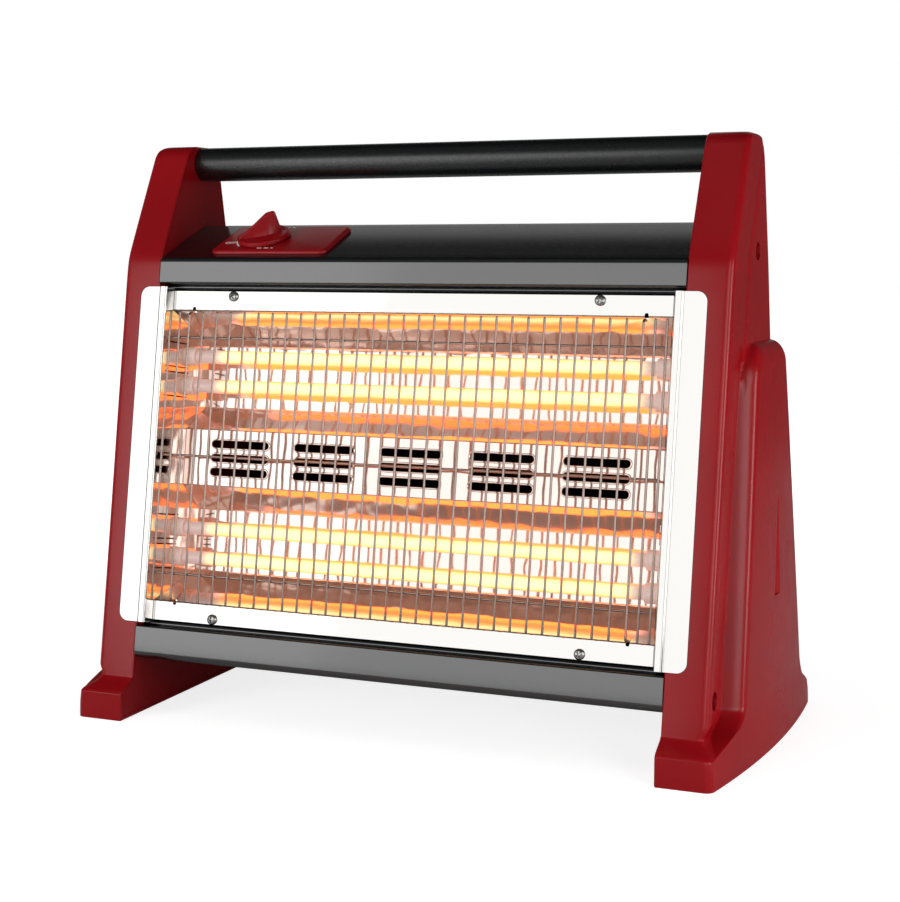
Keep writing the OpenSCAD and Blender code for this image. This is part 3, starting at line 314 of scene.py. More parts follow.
def patch(points, wrap_rows=False, wrap_columns=False):
    """A grid of points as vertices and quads, joined round where it wraps."""
    rows, columns = points.shape[:2]
    index = np.arange(rows * columns).reshape(rows, columns)
    if wrap_rows:
        index = np.vstack([index, index[:1]])
    if wrap_columns:
        index = np.hstack([index, index[:, :1]])
    quads = np.stack([index[:-1, :-1], index[:-1, 1:], index[1:, 1:], index[1:, :-1]], -1)
    return points.reshape(-1, 3), quads.reshape(-1, 4).tolist()


def loft(rings):
    """Closed rings of points joined in order, with the first and last ring filled."""
    points, faces = patch(rings, wrap_columns=True)
    sides = rings.shape[1]
    last = len(points) - sides
    return points, faces + [list(range(sides))[::-1], list(range(last, last + sides))]


def gather(forms):
    """Several forms as one list of vertices and faces."""
    points, faces, start = [], [], 0
    for p, f in forms:
        points.append(p)
        faces += [[i + start for i in face] for face in f]
        start += len(p)
    return np.concatenate(points), faces


def linked(name, data):
    """A new object in the scene."""
    obj = bpy.data.objects.new(name, data)
    bpy.context.scene.collection.objects.link(obj)
    return obj


def evaluated(obj):
    """A new mesh of an object as it shows, with its modifiers applied."""
    graph = bpy.context.evaluated_depsgraph_get()
    return bpy.data.meshes.new_from_object(obj.evaluated_get(graph))


def vertices(mesh):
    """A mesh's vertices as an array of points."""
    points = np.zeros(len(mesh.vertices) * 3)
    mesh.vertices.foreach_get("co", points)
    return points.reshape(-1, 3)


def raw_object(name, forms):
    """An object at the origin from closed forms in millimetres, faces turned outwards."""
    points, faces = gather(forms)
    mesh = bpy.data.meshes.new(name)
    mesh.from_pydata((points * MM).tolist(), [], faces)
    work = bmesh.new()
    work.from_mesh(mesh)
    bmesh.ops.remove_doubles(work, verts=work.verts, dist=NEAR * MM)
    bmesh.ops.recalc_face_normals(work, faces=work.faces)
    work.to_mesh(mesh)
    work.free()
    return linked(name, mesh)


def cut(obj, forms):
    """Takes closed forms away from an object with an exact Boolean, applied at once."""
    cutter = raw_object("cutter", forms)
    step = obj.modifiers.new("cut", "BOOLEAN")
    step.object = cutter
    step.operation = "DIFFERENCE"
    step.solver = "EXACT"
    step.use_self = True
    mesh = evaluated(obj)
    obj.modifiers.clear()
    obj.data = mesh
    bpy.data.objects.remove(cutter)


def piece(name, forms, slot, replaces=(), body=BODY, cutters=(), sharp=35, look=None):
    """One finished piece: its mesh, the finish of its slot or look, its body, and the nodes it stands for,
    hidden.
    """
    obj = raw_object(name, forms)
    if cutters:
        cut(obj, cutters)
    obj.data.materials.clear()
    obj.data.materials.append(finish(look or slot))
    obj.data.shade_smooth()
    obj.data.set_sharp_from_angle(angle=math.radians(sharp))
    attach(obj, body)
    if replaces:
        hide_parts(*replaces)
    return obj


def mirrored(form):
    """A form mirrored left to right, its faces turned to match."""
    points, faces = form
    return points * np.array([-1, 1, 1]), [face[::-1] for face in faces]


def pair(name, forms, slot, node, cutters=(), sharp=35):
    """A right piece and its mirror image on the left, both named for their side."""
    for side, turn in (("right", lambda form: form), ("left", mirrored)):
        piece(f"{side}_{name}", [turn(f) for f in forms], slot, [f"{side}_{node}"],
              cutters=[turn(c) for c in cutters], sharp=sharp)


def rounded(path, radii, steps=10):
    """A path of corners with each inner corner replaced by an arc of its radius."""
    path = np.asarray(path, float)
    found = [path[:1]]
    for a, b, c, r in zip(path[:-2], path[1:-1], path[2:], radii):
        u, v = unit(a - b), unit(c - b)
        half = math.acos(float(u @ v)) / 2
        reach = min(r / math.tan(half), 0.48 * np.linalg.norm(a - b), 0.48 * np.linalg.norm(c - b))
        turn = math.pi - 2 * half
        centre = b + unit(u + v) * reach / math.cos(half)
        t = np.linspace(0, 1, steps + 1)[:, None]
        start, end = b + u * reach - centre, b + v * reach - centre
        found.append(centre + (np.sin(turn * (1 - t)) * start + np.sin(turn * t) * end) / math.sin(turn))
    return np.concatenate(found + [path[-1:]])


def beside(path, t):
    """A path's copy at distance t to its left, mitred at its corners."""
    step = unit(np.diff(path, axis=0))
    normal = np.stack([-step[:, 1], step[:, 0]], -1)
    before = np.concatenate([normal[:1], normal])
    after = np.concatenate([normal, normal[-1:]])
    middle = unit(before + after)
    return path + middle * t / np.sum(middle * before, -1, keepdims=True)


def folded(path, t, stations, place):
    """A folded sheet: a path and its copy at the sheet's thickness, carried along the stations.

    place(station, section) gives the points of a section of [a, b] pairs at a station.
    """
    other = beside(path, t)
    section = np.concatenate([path, other[::-1]])
    rings = np.stack([place(c, section) for c in stations])
    points, faces = patch(rings, wrap_columns=True)
    count = len(section)
    near = np.arange(len(path) - 1)
    strip = np.stack([near, near + 1, count - 2 - near, count - 1 - near], -1)
    last = (len(stations) - 1) * count
    return points, faces + strip.tolist() + (strip[:, ::-1] + last).tolist()


def swept(path, radius, sides, up):
    """A round bar along a path: rings of the given radii square to it, turned by an up vector."""
    along = unit(np.gradient(path, axis=0))
    u = unit(np.cross(along, np.asarray(up, float)))
    v = np.cross(along, u)
    turn = np.linspace(0, 2 * math.pi, sides, endpoint=False)
    ring = np.cos(turn)[:, None] * u[:, None] + np.sin(turn)[:, None] * v[:, None]
    return loft(path[:, None] + np.broadcast_to(radius, len(path))[:, None, None] * ring)


def bar(path, d, sides=12, up=(0.3, 0.9, 0.1)):
    """A wire along a path with rounded tips."""
    path = np.asarray(path, float)
    first, last = unit(path[0] - path[1]), unit(path[-1] - path[-2])
    share = np.array([0.9, 0.6, 0.25])
    dome = np.sqrt(1 - share ** 2)
    r = d / 2
    head = path[0] - first * r * (1 - share[:, None])
    tail = path[-1] - last * r * (1 - share[::-1, None])
    body = path.copy()
    body[0] -= first * r
    body[-1] -= last * r
    radii = np.concatenate([r * dome, np.full(len(body), r), r * dome[::-1]])
    return swept(np.concatenate([head, body, tail]), radii, sides, up)


def turned(profile, origin, axis, sides=48):
    """A profile of [radius, height] pairs turned about an axis; a profile that closes is a ring."""
    profile = np.asarray(profile, float)
    axis = unit(np.asarray(axis, float))
    u = unit(np.cross(axis, [0.31, 0.52, 0.8]))
    v = np.cross(axis, u)
    turn = np.linspace(0, 2 * math.pi, sides, endpoint=False)
    ring = np.cos(turn)[:, None] * u + np.sin(turn)[:, None] * v
    points = np.asarray(origin) + profile[:, None, :1] * ring + profile[:, None, 1:] * axis
    closes = np.allclose(profile[0], profile[-1])
    return patch(points[:-1] if closes else points, wrap_rows=closes, wrap_columns=True)


def round_rect(w, h, r, steps=10):
    """Outline of a rectangle with round corners, anticlockwise."""
    turn = np.linspace(0, math.pi / 2, steps)
    arcs = []
    for k, (x, y) in enumerate(((1, 1), (-1, 1), (-1, -1), (1, -1))):
        middle = np.array([x * (w / 2 - r), y * (h / 2 - r)])
        way = turn + k * math.pi / 2
        arcs.append(middle + r * np.stack([np.cos(way), np.sin(way)], -1))
    return np.concatenate(arcs)


def round_slot(w, h, steps=10):
    """Outline of a slot with round ends, anticlockwise."""
    return round_rect(w, h, min(w, h) / 2 - 0.01, steps)


def prism(outline, low, high, place):
    """An outline of [a, b] pairs carried straight from low to high: place(a, b, c) gives points."""
    return loft(np.stack([place(outline[:, 0], outline[:, 1], c) for c in (low, high)]))


# Finishes

def add(tree, kind, inputs=None, stops=(), **settings):
    """Adds a node with its settings; an input is a value, or an output socket to link.

    The stops of a ramp are pairs of a place and a colour, in order.
    """
    node = tree.nodes.new(kind)
    for key, value in settings.items():
        setattr(node, key, value)
    for key, value in (inputs or {}).items():
        if isinstance(value, bpy.types.NodeSocket):
            tree.links.new(value, node.inputs[key])
        else:
            node.inputs[key].default_value = value
    for i, (place, tone) in enumerate(stops):
        stop = node.color_ramp.elements[i] if i < 2 else node.color_ramp.elements.new(place)
        stop.position, stop.color = place, tone
    return node


def per(size):
    """Texture scale at which one feature is this many millimetres across."""
    return 1 / (size * MM)


def tint(name):
    """A colour of the scene's colour group."""
    return tuple(getattr(bpy.context.scene.heater_colours, name))


def darker(tone, share):
    """A colour taken down to a share of itself."""
    return tuple(c * share for c in tone[:3]) + (1,)


def blank(name):
    """A new material, its emptied tree and the piece's own coordinates."""
    material = bpy.data.materials.new(name)
    material.use_nodes = True
    tree = material.node_tree
    tree.nodes.clear()
    return material, tree, add(tree, "ShaderNodeTexCoord").outputs["Object"]


def close(tree, shader):
    """Links a shader to the material's output."""
    add(tree, "ShaderNodeOutputMaterial", {"Surface": shader.outputs["BSDF"]})


def moulded(name, tone, grain, rough, ior=1.5):
    """A moulded or stoved surface: even colour, faint flow marks, an orange peel of this grain."""
    material, tree, where = blank(name)
    flow = add(tree, "ShaderNodeTexNoise", {"Vector": where, "Scale": per(70), "Detail": 2.0})
    ramp = add(tree, "ShaderNodeValToRGB", {"Fac": flow.outputs["Fac"]},
               ((0.3, darker(tone, 0.86)), (0.7, tone)))
    peel = add(tree, "ShaderNodeTexNoise", {"Vector": where, "Scale": per(grain), "Detail": 0.0})
    gloss = add(tree, "ShaderNodeMapRange",
                {"Value": peel.outputs["Fac"], "To Min": rough * 0.8, "To Max": rough * 1.2})
    soft = add(tree, "ShaderNodeMapRange", {"Value": peel.outputs["Fac"], "From Min": 0.15, "From Max": 0.85},
               interpolation_type="SMOOTHSTEP")
    bump = add(tree, "ShaderNodeBump",
               {"Height": soft.outputs["Result"], "Strength": 0.025, "Distance": 0.1 * MM})
    close(tree, add(tree, "ShaderNodeBsdfPrincipled",
                    {"Base Color": ramp.outputs["Color"], "Roughness": gloss.outputs["Result"],
                     "IOR": ior, "Normal": bump.outputs["Normal"]}))
    return material


def metal(name, tone, rough, wave, wave_height, scratch):
    """Bare metal: a slow waviness bends its reflections, rubbing varies its gloss."""
    material, tree, where = blank(name)
    slow = add(tree, "ShaderNodeTexNoise", {"Vector": where, "Scale": per(wave), "Detail": 1.0})
    rub = add(tree, "ShaderNodeTexNoise", {"Vector": where, "Scale": per(scratch), "Detail": 4.0})
    gloss = add(tree, "ShaderNodeMapRange",
                {"Value": rub.outputs["Fac"], "To Min": rough * 0.6, "To Max": rough * 1.4})
    bump = add(tree, "ShaderNodeBump",
               {"Height": slow.outputs["Fac"], "Strength": 1.0, "Distance": wave_height * MM})
    close(tree, add(tree, "ShaderNodeBsdfPrincipled",
                    {"Base Color": tone, "Metallic": 1.0, "Roughness": gloss.outputs["Result"],
                     "Normal": bump.outputs["Normal"]}))
    return material


def bright_steel():
    """Bright-annealed stainless sheet: a mirror that the pressing has left a little wavy.

    Behind the flanges the heat has tinted and loosened it, and faces turned to the front there carry a
    painted warm glow standing in for the coils' scattered light: a ramp over the depth behind the sloping
    front, which is a dot product with the front's own direction less the front's place.
    """
    lay = Layout()
    material, tree, where = blank("bright annealed steel")
    out = (0, -math.cos(lay.lean), math.sin(lay.lean))
    along = add(tree, "ShaderNodeVectorMath", {0: where, 1: out}, operation="DOT_PRODUCT")
    face = -lay.front_y0 * math.cos(lay.lean) * MM
    front = add(tree, "ShaderNodeMapRange",
                {"Value": along.outputs["Value"], "From Min": face - 2.4 * lay.recess * MM,
                 "From Max": face - 1.3 * lay.recess * MM}).outputs["Result"]
    hue = add(tree, "ShaderNodeValToRGB", {"Fac": front}, ((0, tint("heated")), (1, tint("steel"))))
    slow = add(tree, "ShaderNodeTexNoise", {"Vector": where, "Scale": per(26), "Detail": 1.0})
    rub = add(tree, "ShaderNodeTexNoise", {"Vector": where, "Scale": per(9), "Detail": 4.0})
    gloss = add(tree, "ShaderNodeMapRange",
                {"Value": rub.outputs["Fac"], "To Min": 0.04, "To Max": 0.08})
    loose = add(tree, "ShaderNodeMapRange", {"Value": front, "To Min": 1.0, "To Max": 0.25})
    bump = add(tree, "ShaderNodeBump", {"Height": slow.outputs["Fac"], "Strength": loose.outputs["Result"],
                                        "Distance": 0.5 * MM})
    # Painted glow: emission strength on the deep sheet, standing in for the coils' scattered light
    haze = add(tree, "ShaderNodeMapRange", {"Value": front, "To Min": 0.18, "To Max": 0.0})
    facing = add(tree, "ShaderNodeVectorMath", {0: add(tree, "ShaderNodeTexCoord").outputs["Normal"], 1: out},
                 operation="DOT_PRODUCT")
    lit = add(tree, "ShaderNodeMapRange", {"Value": facing.outputs["Value"], "From Min": 0.0, "From Max": 0.1,
                                           "To Max": haze.outputs["Result"]})
    close(tree, add(tree, "ShaderNodeBsdfPrincipled",
                    {"Base Color": hue.outputs["Color"], "Metallic": 1.0,
                     "Roughness": gloss.outputs["Result"], "Normal": bump.outputs["Normal"],
                     "Emission Color": tint("haze"), "Emission Strength": lit.outputs["Result"]}))
    return material


def steatite():
    """Pressed and fired steatite: dull off-white with a fine grain, and a painted warm glow for the coils'
    light.
    """
    material, tree, where = blank("fired steatite")
    grain = add(tree, "ShaderNodeTexNoise", {"Vector": where, "Scale": per(0.9), "Detail": 4.0})
    tone = tint("ceramic")
    ramp = add(tree, "ShaderNodeValToRGB", {"Fac": grain.outputs["Fac"]}, ((0, darker(tone, 0.8)), (1, tone)))
    bump = add(tree, "ShaderNodeBump",
               {"Height": grain.outputs["Fac"], "Strength": 0.3, "Distance": 0.1 * MM})
    # Painted warm glow: emission on the caps standing in for the coils' light falling on them
    close(tree, add(tree, "ShaderNodeBsdfPrincipled",
                    {"Base Color": ramp.outputs["Color"], "Roughness": 0.62, "IOR": 1.6,
                     "Normal": bump.outputs["Normal"], "Emission Color": tint("haze"),
                     "Emission Strength": 0.25}))
    return material


def frosted_quartz():
    """Satin quartz tube: lit yellow from inside along its middle, with a painted pale glow on its cold ends.

    The glow is cut off by a smooth step along the tube, and goes from yellow at the front to
    ember at the back by the tube's own front-to-back place, stored in its UV map.
    """
    lay = Layout()
    material, tree, where = blank("satin fused quartz")
    split = add(tree, "ShaderNodeSeparateXYZ", {"Vector": where})
    along = add(tree, "ShaderNodeMath", {0: split.outputs["X"], 1: lay.glow_mid * MM}, operation="SUBTRACT")
    away = add(tree, "ShaderNodeMath", {0: along.outputs[0]}, operation="ABSOLUTE")
    edge = add(tree, "ShaderNodeMapRange",
               {"Value": away.outputs[0], "From Min": lay.glow_half * MM,
                "From Max": (lay.glow_half + lay.glow_fade) * MM, "To Min": 1.0, "To Max": 0.0},
               interpolation_type="SMOOTHSTEP")
    uv = add(tree, "ShaderNodeSeparateXYZ",
             {"Vector": add(tree, "ShaderNodeUVMap", uv_map="round").outputs["UV"]})
    curl = add(tree, "ShaderNodeTexNoise", {"Vector": where, "Scale": per(14), "Detail": 1.0})
    lift = add(tree, "ShaderNodeMath", {0: curl.outputs["Fac"], 1: 0.25, 2: -0.125}, operation="MULTIPLY_ADD")
    side = add(tree, "ShaderNodeMath", {0: uv.outputs["Y"], 1: lift.outputs[0]}, operation="ADD")
    hue = add(tree, "ShaderNodeValToRGB", {"Fac": side.outputs[0]},
              ((0.52, tint("ember")), (0.76, tint("flame")), (0.94, tint("glow"))))
    heat = add(tree, "ShaderNodeMapRange", {"Value": side.outputs[0], "From Min": 0.35, "From Max": 0.62,
                                            "To Min": 5.0, "To Max": 1.0})
    # The 0.4 added to the strength paints a pale glow of the quartz colour on the cold ends
    power = add(tree, "ShaderNodeMath", {0: edge.outputs["Result"], 1: heat.outputs["Result"], 2: 0.4},
                operation="MULTIPLY_ADD")
    glow_and_painted_ends = add(tree, "ShaderNodeMix",
               {0: edge.outputs["Result"], 6: tint("quartz"), 7: hue.outputs["Color"]}, data_type="RGBA")
    close(tree, add(tree, "ShaderNodeBsdfPrincipled",
                    {"Base Color": tint("quartz"), "Roughness": 0.28, "IOR": 1.46,
                     "Emission Color": glow_and_painted_ends.outputs[2], "Emission Strength": power.outputs[0]}))
    return material


def hot_wire():
    """Drawn resistance wire at red heat: orange, yellower in spots."""
    material, tree, where = blank("glowing resistance wire")
    spot = add(tree, "ShaderNodeTexNoise", {"Vector": where, "Scale": per(5), "Detail": 1.0})
    hue = add(tree, "ShaderNodeValToRGB", {"Fac": spot.outputs["Fac"]},
              ((0, linear("#f0661a")), (1, linear("#ffb347"))))
    close(tree, add(tree, "ShaderNodeBsdfPrincipled",
                    {"Base Color": linear("#6b4a3c"), "Roughness": 0.6,
                     "Emission Color": hue.outputs["Color"], "Emission Strength": 1.2}))
    return material


def printed_ink():
    """Pad-printed ink: matt off-white."""
    material, tree, where = blank("pad printed ink")
    mottle = add(tree, "ShaderNodeTexNoise", {"Vector": where, "Scale": per(0.7), "Detail": 2.0})
    tone = tint("ink")
    ramp = add(tree, "ShaderNodeValToRGB", {"Fac": mottle.outputs["Fac"]},
               ((0, darker(tone, 0.85)), (1, tone)))
    close(tree, add(tree, "ShaderNodeBsdfPrincipled",
                    {"Base Color": ramp.outputs["Color"], "Roughness": 0.55}))
    return material


FINISHES = {
    # ABS, moulded in a polished tool: deep red, soft broad gloss; its peel is drawn coarse enough to show
    "red_moulding": lambda: moulded("moulded red ABS", tint("red"), 16, 0.24, 1.4),
    # Stoved enamel on sheet steel: near black, a wet gloss with a faint orange peel
    "black_paint": lambda: moulded("stoved black enamel", tint("black"), 2.5, 0.13, 2.15),
    # Stoved enamel on the carrying bar, rubbed satin by hands: black, with one soft broad sheen
    "bar_paint": lambda: moulded("satin black enamel", tint("black"), 2.5, 0.3, 1.75),
    # Nylon, moulded with a spark-eroded texture: matt black
    "black_plastic": lambda: moulded("moulded black nylon", linear("#15161a"), 0.8, 0.5),
    # Melamine, compression moulded: off-white, half matt
    "pale_plastic": lambda: moulded("pressed pale melamine", linear("#d9d6cc"), 1.2, 0.45),
    # Nickel-plated drawn wire: warm grey, bright along its length
    "guard_wire": lambda: metal("nickel plated wire", tint("wire"), 0.2, 6, 0.02, 3),
    # Zinc-plated steel: pale grey with a soft spangle
    "plated_steel": lambda: metal("zinc plated steel", linear("#bdbdba"), 0.15, 4, 0.02, 1.5),
    # Black-oxide screws: dark, oily sheen
    "dark_screw": lambda: metal("black oxide steel", linear("#3b3b3d"), 0.36, 4, 0.02, 1.5),
    # Stamped brass: yellow, slightly tarnished
    "brass": lambda: metal("stamped brass", linear("#c8a24a"), 0.3, 6, 0.03, 2),
    "polished_sheet": bright_steel, "ceramic": steatite, "quartz": frosted_quartz,
    "heating_wire": hot_wire, "ink": printed_ink,
}
MADE = {}


def finish(slot):
    """The material of a slot or look, made once."""
    if slot not in MADE:
        MADE[slot] = FINISHES[slot]()
    return MADE[slot]


# End frames

def frame_edges(lay, z):
    """Front and back of an end frame at heights z: a foot, a leaning leg, a kink and a round top."""
    low = lay.front_y0 + z * math.tan(lay.lean)
    high = lay.top_y + (z - lay.kink_z) * math.tan(lay.lean_top)
    leaning = (low + high) / 2 + np.sqrt((high - low) ** 2 / 4 + 1)
    ramp = np.clip((z - lay.foot_h) / lay.foot_blend, 0, 1)
    share = mix(ramp, smooth(lay.foot_h, lay.foot_h + lay.foot_blend, z), 0.5)
    fall = edge_fall(lay.frame_h - z, lay.top_r)
    front = mix(-lay.foot_d / 2, leaning, share) + fall
    back = lay.rear_y0 - z * math.tan(lay.rear_lean)
    rear = mix(lay.foot_d / 2, back, smooth(lay.foot_h * 0.8, lay.foot_h * 1.4, z)) - fall
    return front, rear


def sweep(lay, z):
    """Share of its full width that the rim has kept where it sweeps out onto the foot."""
    ramp = np.clip((z - 0.9 * lay.foot_h) / (1.1 * lay.foot_h), 0, 1)
    return mix(0.06, 1, np.sin(ramp * math.pi / 2))


def frame_reach(lay, y, z):
    """Reach of the outer face from the inner one: rim, groove, bulged cheek, round edges."""
    front, rear = frame_edges(lay, z)
    d, k = y - front, sweep(lay, z)
    groove_s = lay.rim_w + 0.75 * lay.groove_wall
    cheek_s = groove_s + lay.groove_floor

    def shoulder(v):
        t = np.clip((v - lay.shoulder_z + lay.shoulder_r) / lay.shoulder_r, 0, 1)
        return np.sqrt(np.maximum(0, 1 - t * t))

    side_x = lay.frame_t + np.maximum(0, d) * math.tan(lay.side_draft)
    floor_x = side_x - lay.groove_deep * shoulder(z + lay.shoulder_corner / 2)
    rim_x = mix(floor_x, side_x, smooth(lay.tongue_z, lay.tongue_z + lay.tongue_blend, z))
    base = mix(rim_x, floor_x, smooth((groove_s - lay.groove_wall) * k, groove_s * k, d))
    corner = edge_fall(d - lay.cheek_set * k + lay.groove_wall, lay.shoulder_corner)
    cheek = (lay.cheek_out - (y - lay.cheek_back) ** 2 / (2 * lay.cheek_r) - z * math.tan(lay.cheek_lean)
             + lay.foot_flare * (1 - smooth(0.4 * lay.foot_h, 2 * lay.foot_h, z)))
    raised = mix(side_x, cheek, shoulder(z + corner))
    leg = smooth(0.95 * lay.foot_h, lay.foot_h + 0.8 * lay.foot_blend, z)
    rise = np.clip((d / k - cheek_s) / (lay.cheek_set + lay.groove_wall - cheek_s), 0, 1)
    up = mix(1, 1 - (1 - rise) ** 2.4, leg)
    crown = np.clip((d / k - groove_s + lay.groove_wall) / lay.rim_crown + 1, 0, 1) ** 2 * lay.rim_crown / 10
    edges = sum(edge_fall(v, lay.edge_r) for v in (d, rear - y, lay.frame_h - z))
    return mix(base - crown * leg, raised, up) - edges


def skin_grid(lay):
    """Places y and z of the skin's grid: columns crowd at the edges and the groove, rows where it turns."""
    turn = 1 - np.cos(np.linspace(0, math.pi / 2, 9))
    foot_top = lay.foot_h + lay.foot_blend
    turns = [0, lay.foot_h - 4, foot_top + 20, lay.shoulder_z - 40, lay.shoulder_z + 6, lay.kink_z - 12,
             lay.kink_z + 12, lay.frame_h - lay.top_r]
    rows = [np.linspace(low, top, count)[:-1]
            for low, top, count in zip(turns, turns[1:], (4, 70, 56, 56, 10, 16, 14))]
    crown = lay.frame_h - lay.top_r * (1 - np.sin(np.linspace(0, math.pi / 2, 16)))
    z = np.concatenate(rows + [crown])[:, None]
    front, rear = frame_edges(lay, z)
    reach_in = lay.cheek_set - lay.edge_r
    squeeze = np.minimum(sweep(lay, z), 0.6 * (rear - front - 2 * lay.edge_r) / reach_in)
    edge = lay.edge_r * turn
    groove = lay.rim_w - 3
    rim = np.concatenate([np.linspace(lay.edge_r, groove, 6)[1:], np.linspace(groove, lay.cheek_set, 34)[1:]])
    inner = front + lay.edge_r + (rim - lay.edge_r) * squeeze
    share = np.linspace(0, 1, 62)[1:-1]
    middle = mix(inner[:, -1:], rear - lay.edge_r, share)
    y = np.concatenate([front + edge, inner, middle, rear - edge[::-1]], 1)
    return y, np.broadcast_to(z, y.shape)


def frame_shell(lay):
    """Right end frame as a hollow cup: outer skin, its copy one wall inside, and a rounded rim."""
    y, z = skin_grid(lay)
    outside = np.stack([lay.half_w + frame_reach(lay, y, z), y, z], -1)
    front, rear = frame_edges(lay, z)
    part = (y - front) / (rear - front)
    inner_z = lay.wall + z * (lay.frame_h - 2 * lay.wall) / lay.frame_h
    inner_front, inner_rear = frame_edges(lay, inner_z)
    inner_y = mix(inner_front + lay.wall, inner_rear - lay.wall, part)
    inner_x = lay.half_w + frame_reach(lay, inner_y, inner_z) - lay.wall
    inside = np.stack([inner_x, inner_y, inner_z], -1)

    def border(grid):
        return np.concatenate([grid[0], grid[1:, -1], grid[-1, -2::-1], grid[-2:0:-1, 0]])

    def at_x(ring, x):
        return np.stack([np.full(len(ring), x), ring[:, 1], ring[:, 2]], -1)

    outer, inner = border(outside), border(inside)
    round_in = mix(outer, inner, lay.inner_edge / lay.wall)
    rim = np.stack([outer, at_x(outer, lay.half_w + lay.inner_edge), at_x(round_in, lay.half_w),
                    at_x(inner, lay.half_w), inner])
    return gather([patch(outside), patch(inside), patch(rim, wrap_columns=True)])


END_SCREWS_IN = np.array([14, 64])  # lower and upper end screw behind the front, in millimetres


def end_screw_places(lay):
    """Heights and depths of the two end screws of a frame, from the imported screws."""
    low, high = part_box("end_screws")
    z = np.array([low.z, high.z]) / MM + np.array([1, -1]) * lay.sink_d * 0.475
    front, _ = frame_edges(lay, z)
    return np.stack([front + END_SCREWS_IN, z], -1)


def flute_form(lay):
    """Flute in the cheek: a wedge that tapers upwards, shallow in front and steep behind."""
    up = np.linspace(0, 1, 24)
    z = lay.flute_z + lay.flute_l * up
    deep = mix(lay.flute_deep, 0.3, up)
    y = lay.flute_y - 1.2 * lay.flute_deep * (1 - up)
    face = lay.half_w + frame_reach(lay, y, z)
    proud = np.full_like(deep, 2)
    rings = [np.stack([face + a, y + b * (a + deep), z], -1)
             for a, b in ((-deep, 0), (proud, 1.7), (proud, -6))]
    return loft(np.stack(rings, 1))


def shell_cutters(lay):
    """What is taken from a frame: the screw sinks with their wide mouths, the flute and the strip's seat."""
    r = lay.sink_d / 2
    outside = 2 * lay.frame_t
    sink = [[0, lay.sink_floor], [r, lay.sink_floor], [2.4 * r, outside], [0, outside]]
    sinks = [turned(sink, [lay.half_w, y, z], [1, 0, 0]) for y, z in end_screw_places(lay)]
    height = lay.fascia_s - lay.panel_s - 2 * (lay.strip_gap - lay.fit)
    seat = round_rect(2 * (lay.strip_lap + lay.fit), height, lay.strip_r)
    middle = (lay.panel_s + lay.fascia_s) / 2
    deep = lay.mirror_t + lay.fit
    return sinks + [flute_form(lay), prism(seat, -deep, lay.wall,
                                           lambda a, b, c: lay.on_front(lay.half_w + a, middle + b, c))]


class HEATER_OT_end_frames(bpy.types.Operator):
    """Moulds the two end frames"""
    bl_idname = "heater.end_frames"
    bl_label = "End frames"

    def execute(self, context):
        lay = Layout()
        pair("frame_moulding", [frame_shell(lay)], "red_moulding", "end_shell", shell_cutters(lay))
        return {"FINISHED"}


# Painted body

def across(x, section):
    """A section of [y, z] pairs at a place across the body."""
    return np.stack([np.full(len(section), x), section[:, 0], section[:, 1]], -1)


def lip(lay, end_s, turn_s, edge_s):
    """Corners of a lip behind the flange that folds back into the dark and then out to the front's face."""
    return [lay.front_section(end_s, lay.lip_n), lay.front_section(turn_s, lay.lip_n),
            lay.front_section(edge_s, lay.lip_n - lay.lip_gap), lay.front_section(edge_s, 0)]


def body_sheet(lay, path, bends, t):
    """A painted sheet: a path of [y, z] corners, the last two bent as given, carried from end to end."""
    fold = lay.sheet_t + 0.6
    half = lay.half_w - lay.fit
    line = rounded(path, [fold, fold, fold, *bends], 16)
    return folded(line, t, np.array([-half, -half + 0.5, 0, half - 0.5, half]), across)


def cowl_form(lay):
    """Cowl: lip, fold, fascia, rounded kink, sloping top, ridge and rear hem."""
    gap = lay.rear_inset + lay.sheet_t + lay.fit / 3
    slope, back = math.tan(lay.cowl_slope), math.tan(lay.rear_lean)
    start = lay.rear_y0 - gap / math.cos(lay.rear_lean)
    ridge_z = (lay.kink_z + (start - lay.top_y) * slope) / (1 + back * slope)
    hem_z = lay.kink_z - lay.cowl_hem_drop - lay.hem_h
    path = lip(lay, lay.open_top_s + 4, lay.flange_top_s - 1, lay.fascia_s)
    path += [lay.front_section(lay.kink_s, 0),
             [lay.rear_y(ridge_z, gap), ridge_z], [lay.rear_y(hem_z, gap), hem_z]]
    return body_sheet(lay, path, (lay.kink_r, lay.ridge_r), -lay.sheet_t)


def tray_form(lay):
    """Base tray: lip, fold, lower panel, rounded chin, underside and rear hem."""
    gap = lay.rear_inset + lay.sheet_t + lay.fit / 3
    top = lay.floor_z + lay.tray_hem_h
    path = lip(lay, lay.open_low_s - 4, lay.flange_low_s + 1, lay.panel_s)
    path += [lay.front_section(lay.floor_z / math.cos(lay.lean), 0),
             [lay.rear_y(lay.floor_z, gap), lay.floor_z], [lay.rear_y(top, gap), top]]
    return body_sheet(lay, path, (lay.chin_r, 2 * (lay.sheet_t + 0.6)), lay.sheet_t)


VENT_L, VENT_W, VENT_R = 30, 5, 2.45  # of a slot in the tray's underside, in millimetres
VENT_STEP_X, VENT_STEP_Y = 40, 20


def tray_vents(lay):
    """Slots in the tray's underside."""
    slot = round_rect(VENT_L, VENT_W, VENT_R)
    return [prism(slot + [i * VENT_STEP_X, j * VENT_STEP_Y], lay.floor_z - 2, lay.floor_z + 3,
                  lambda a, b, c: np.stack([a, b, np.full(len(a), c)], -1))
            for i in range(-2, 3) for j in (-3, -2, -1)]


class HEATER_OT_sheet_body(bpy.types.Operator):
    """Folds the cowl and the base tray"""
    bl_idname = "heater.sheet_body"
    bl_label = "Sheet body"

    def execute(self, context):
        lay = Layout()
        piece("folded_cowl", [cowl_form(lay)], "black_paint", ["cowl"], sharp=25)
        piece("folded_tray", [tray_form(lay)], "black_paint", ["base_tray"],
              cutters=tray_vents(lay), sharp=25)
        return {"FINISHED"}


# Reflector

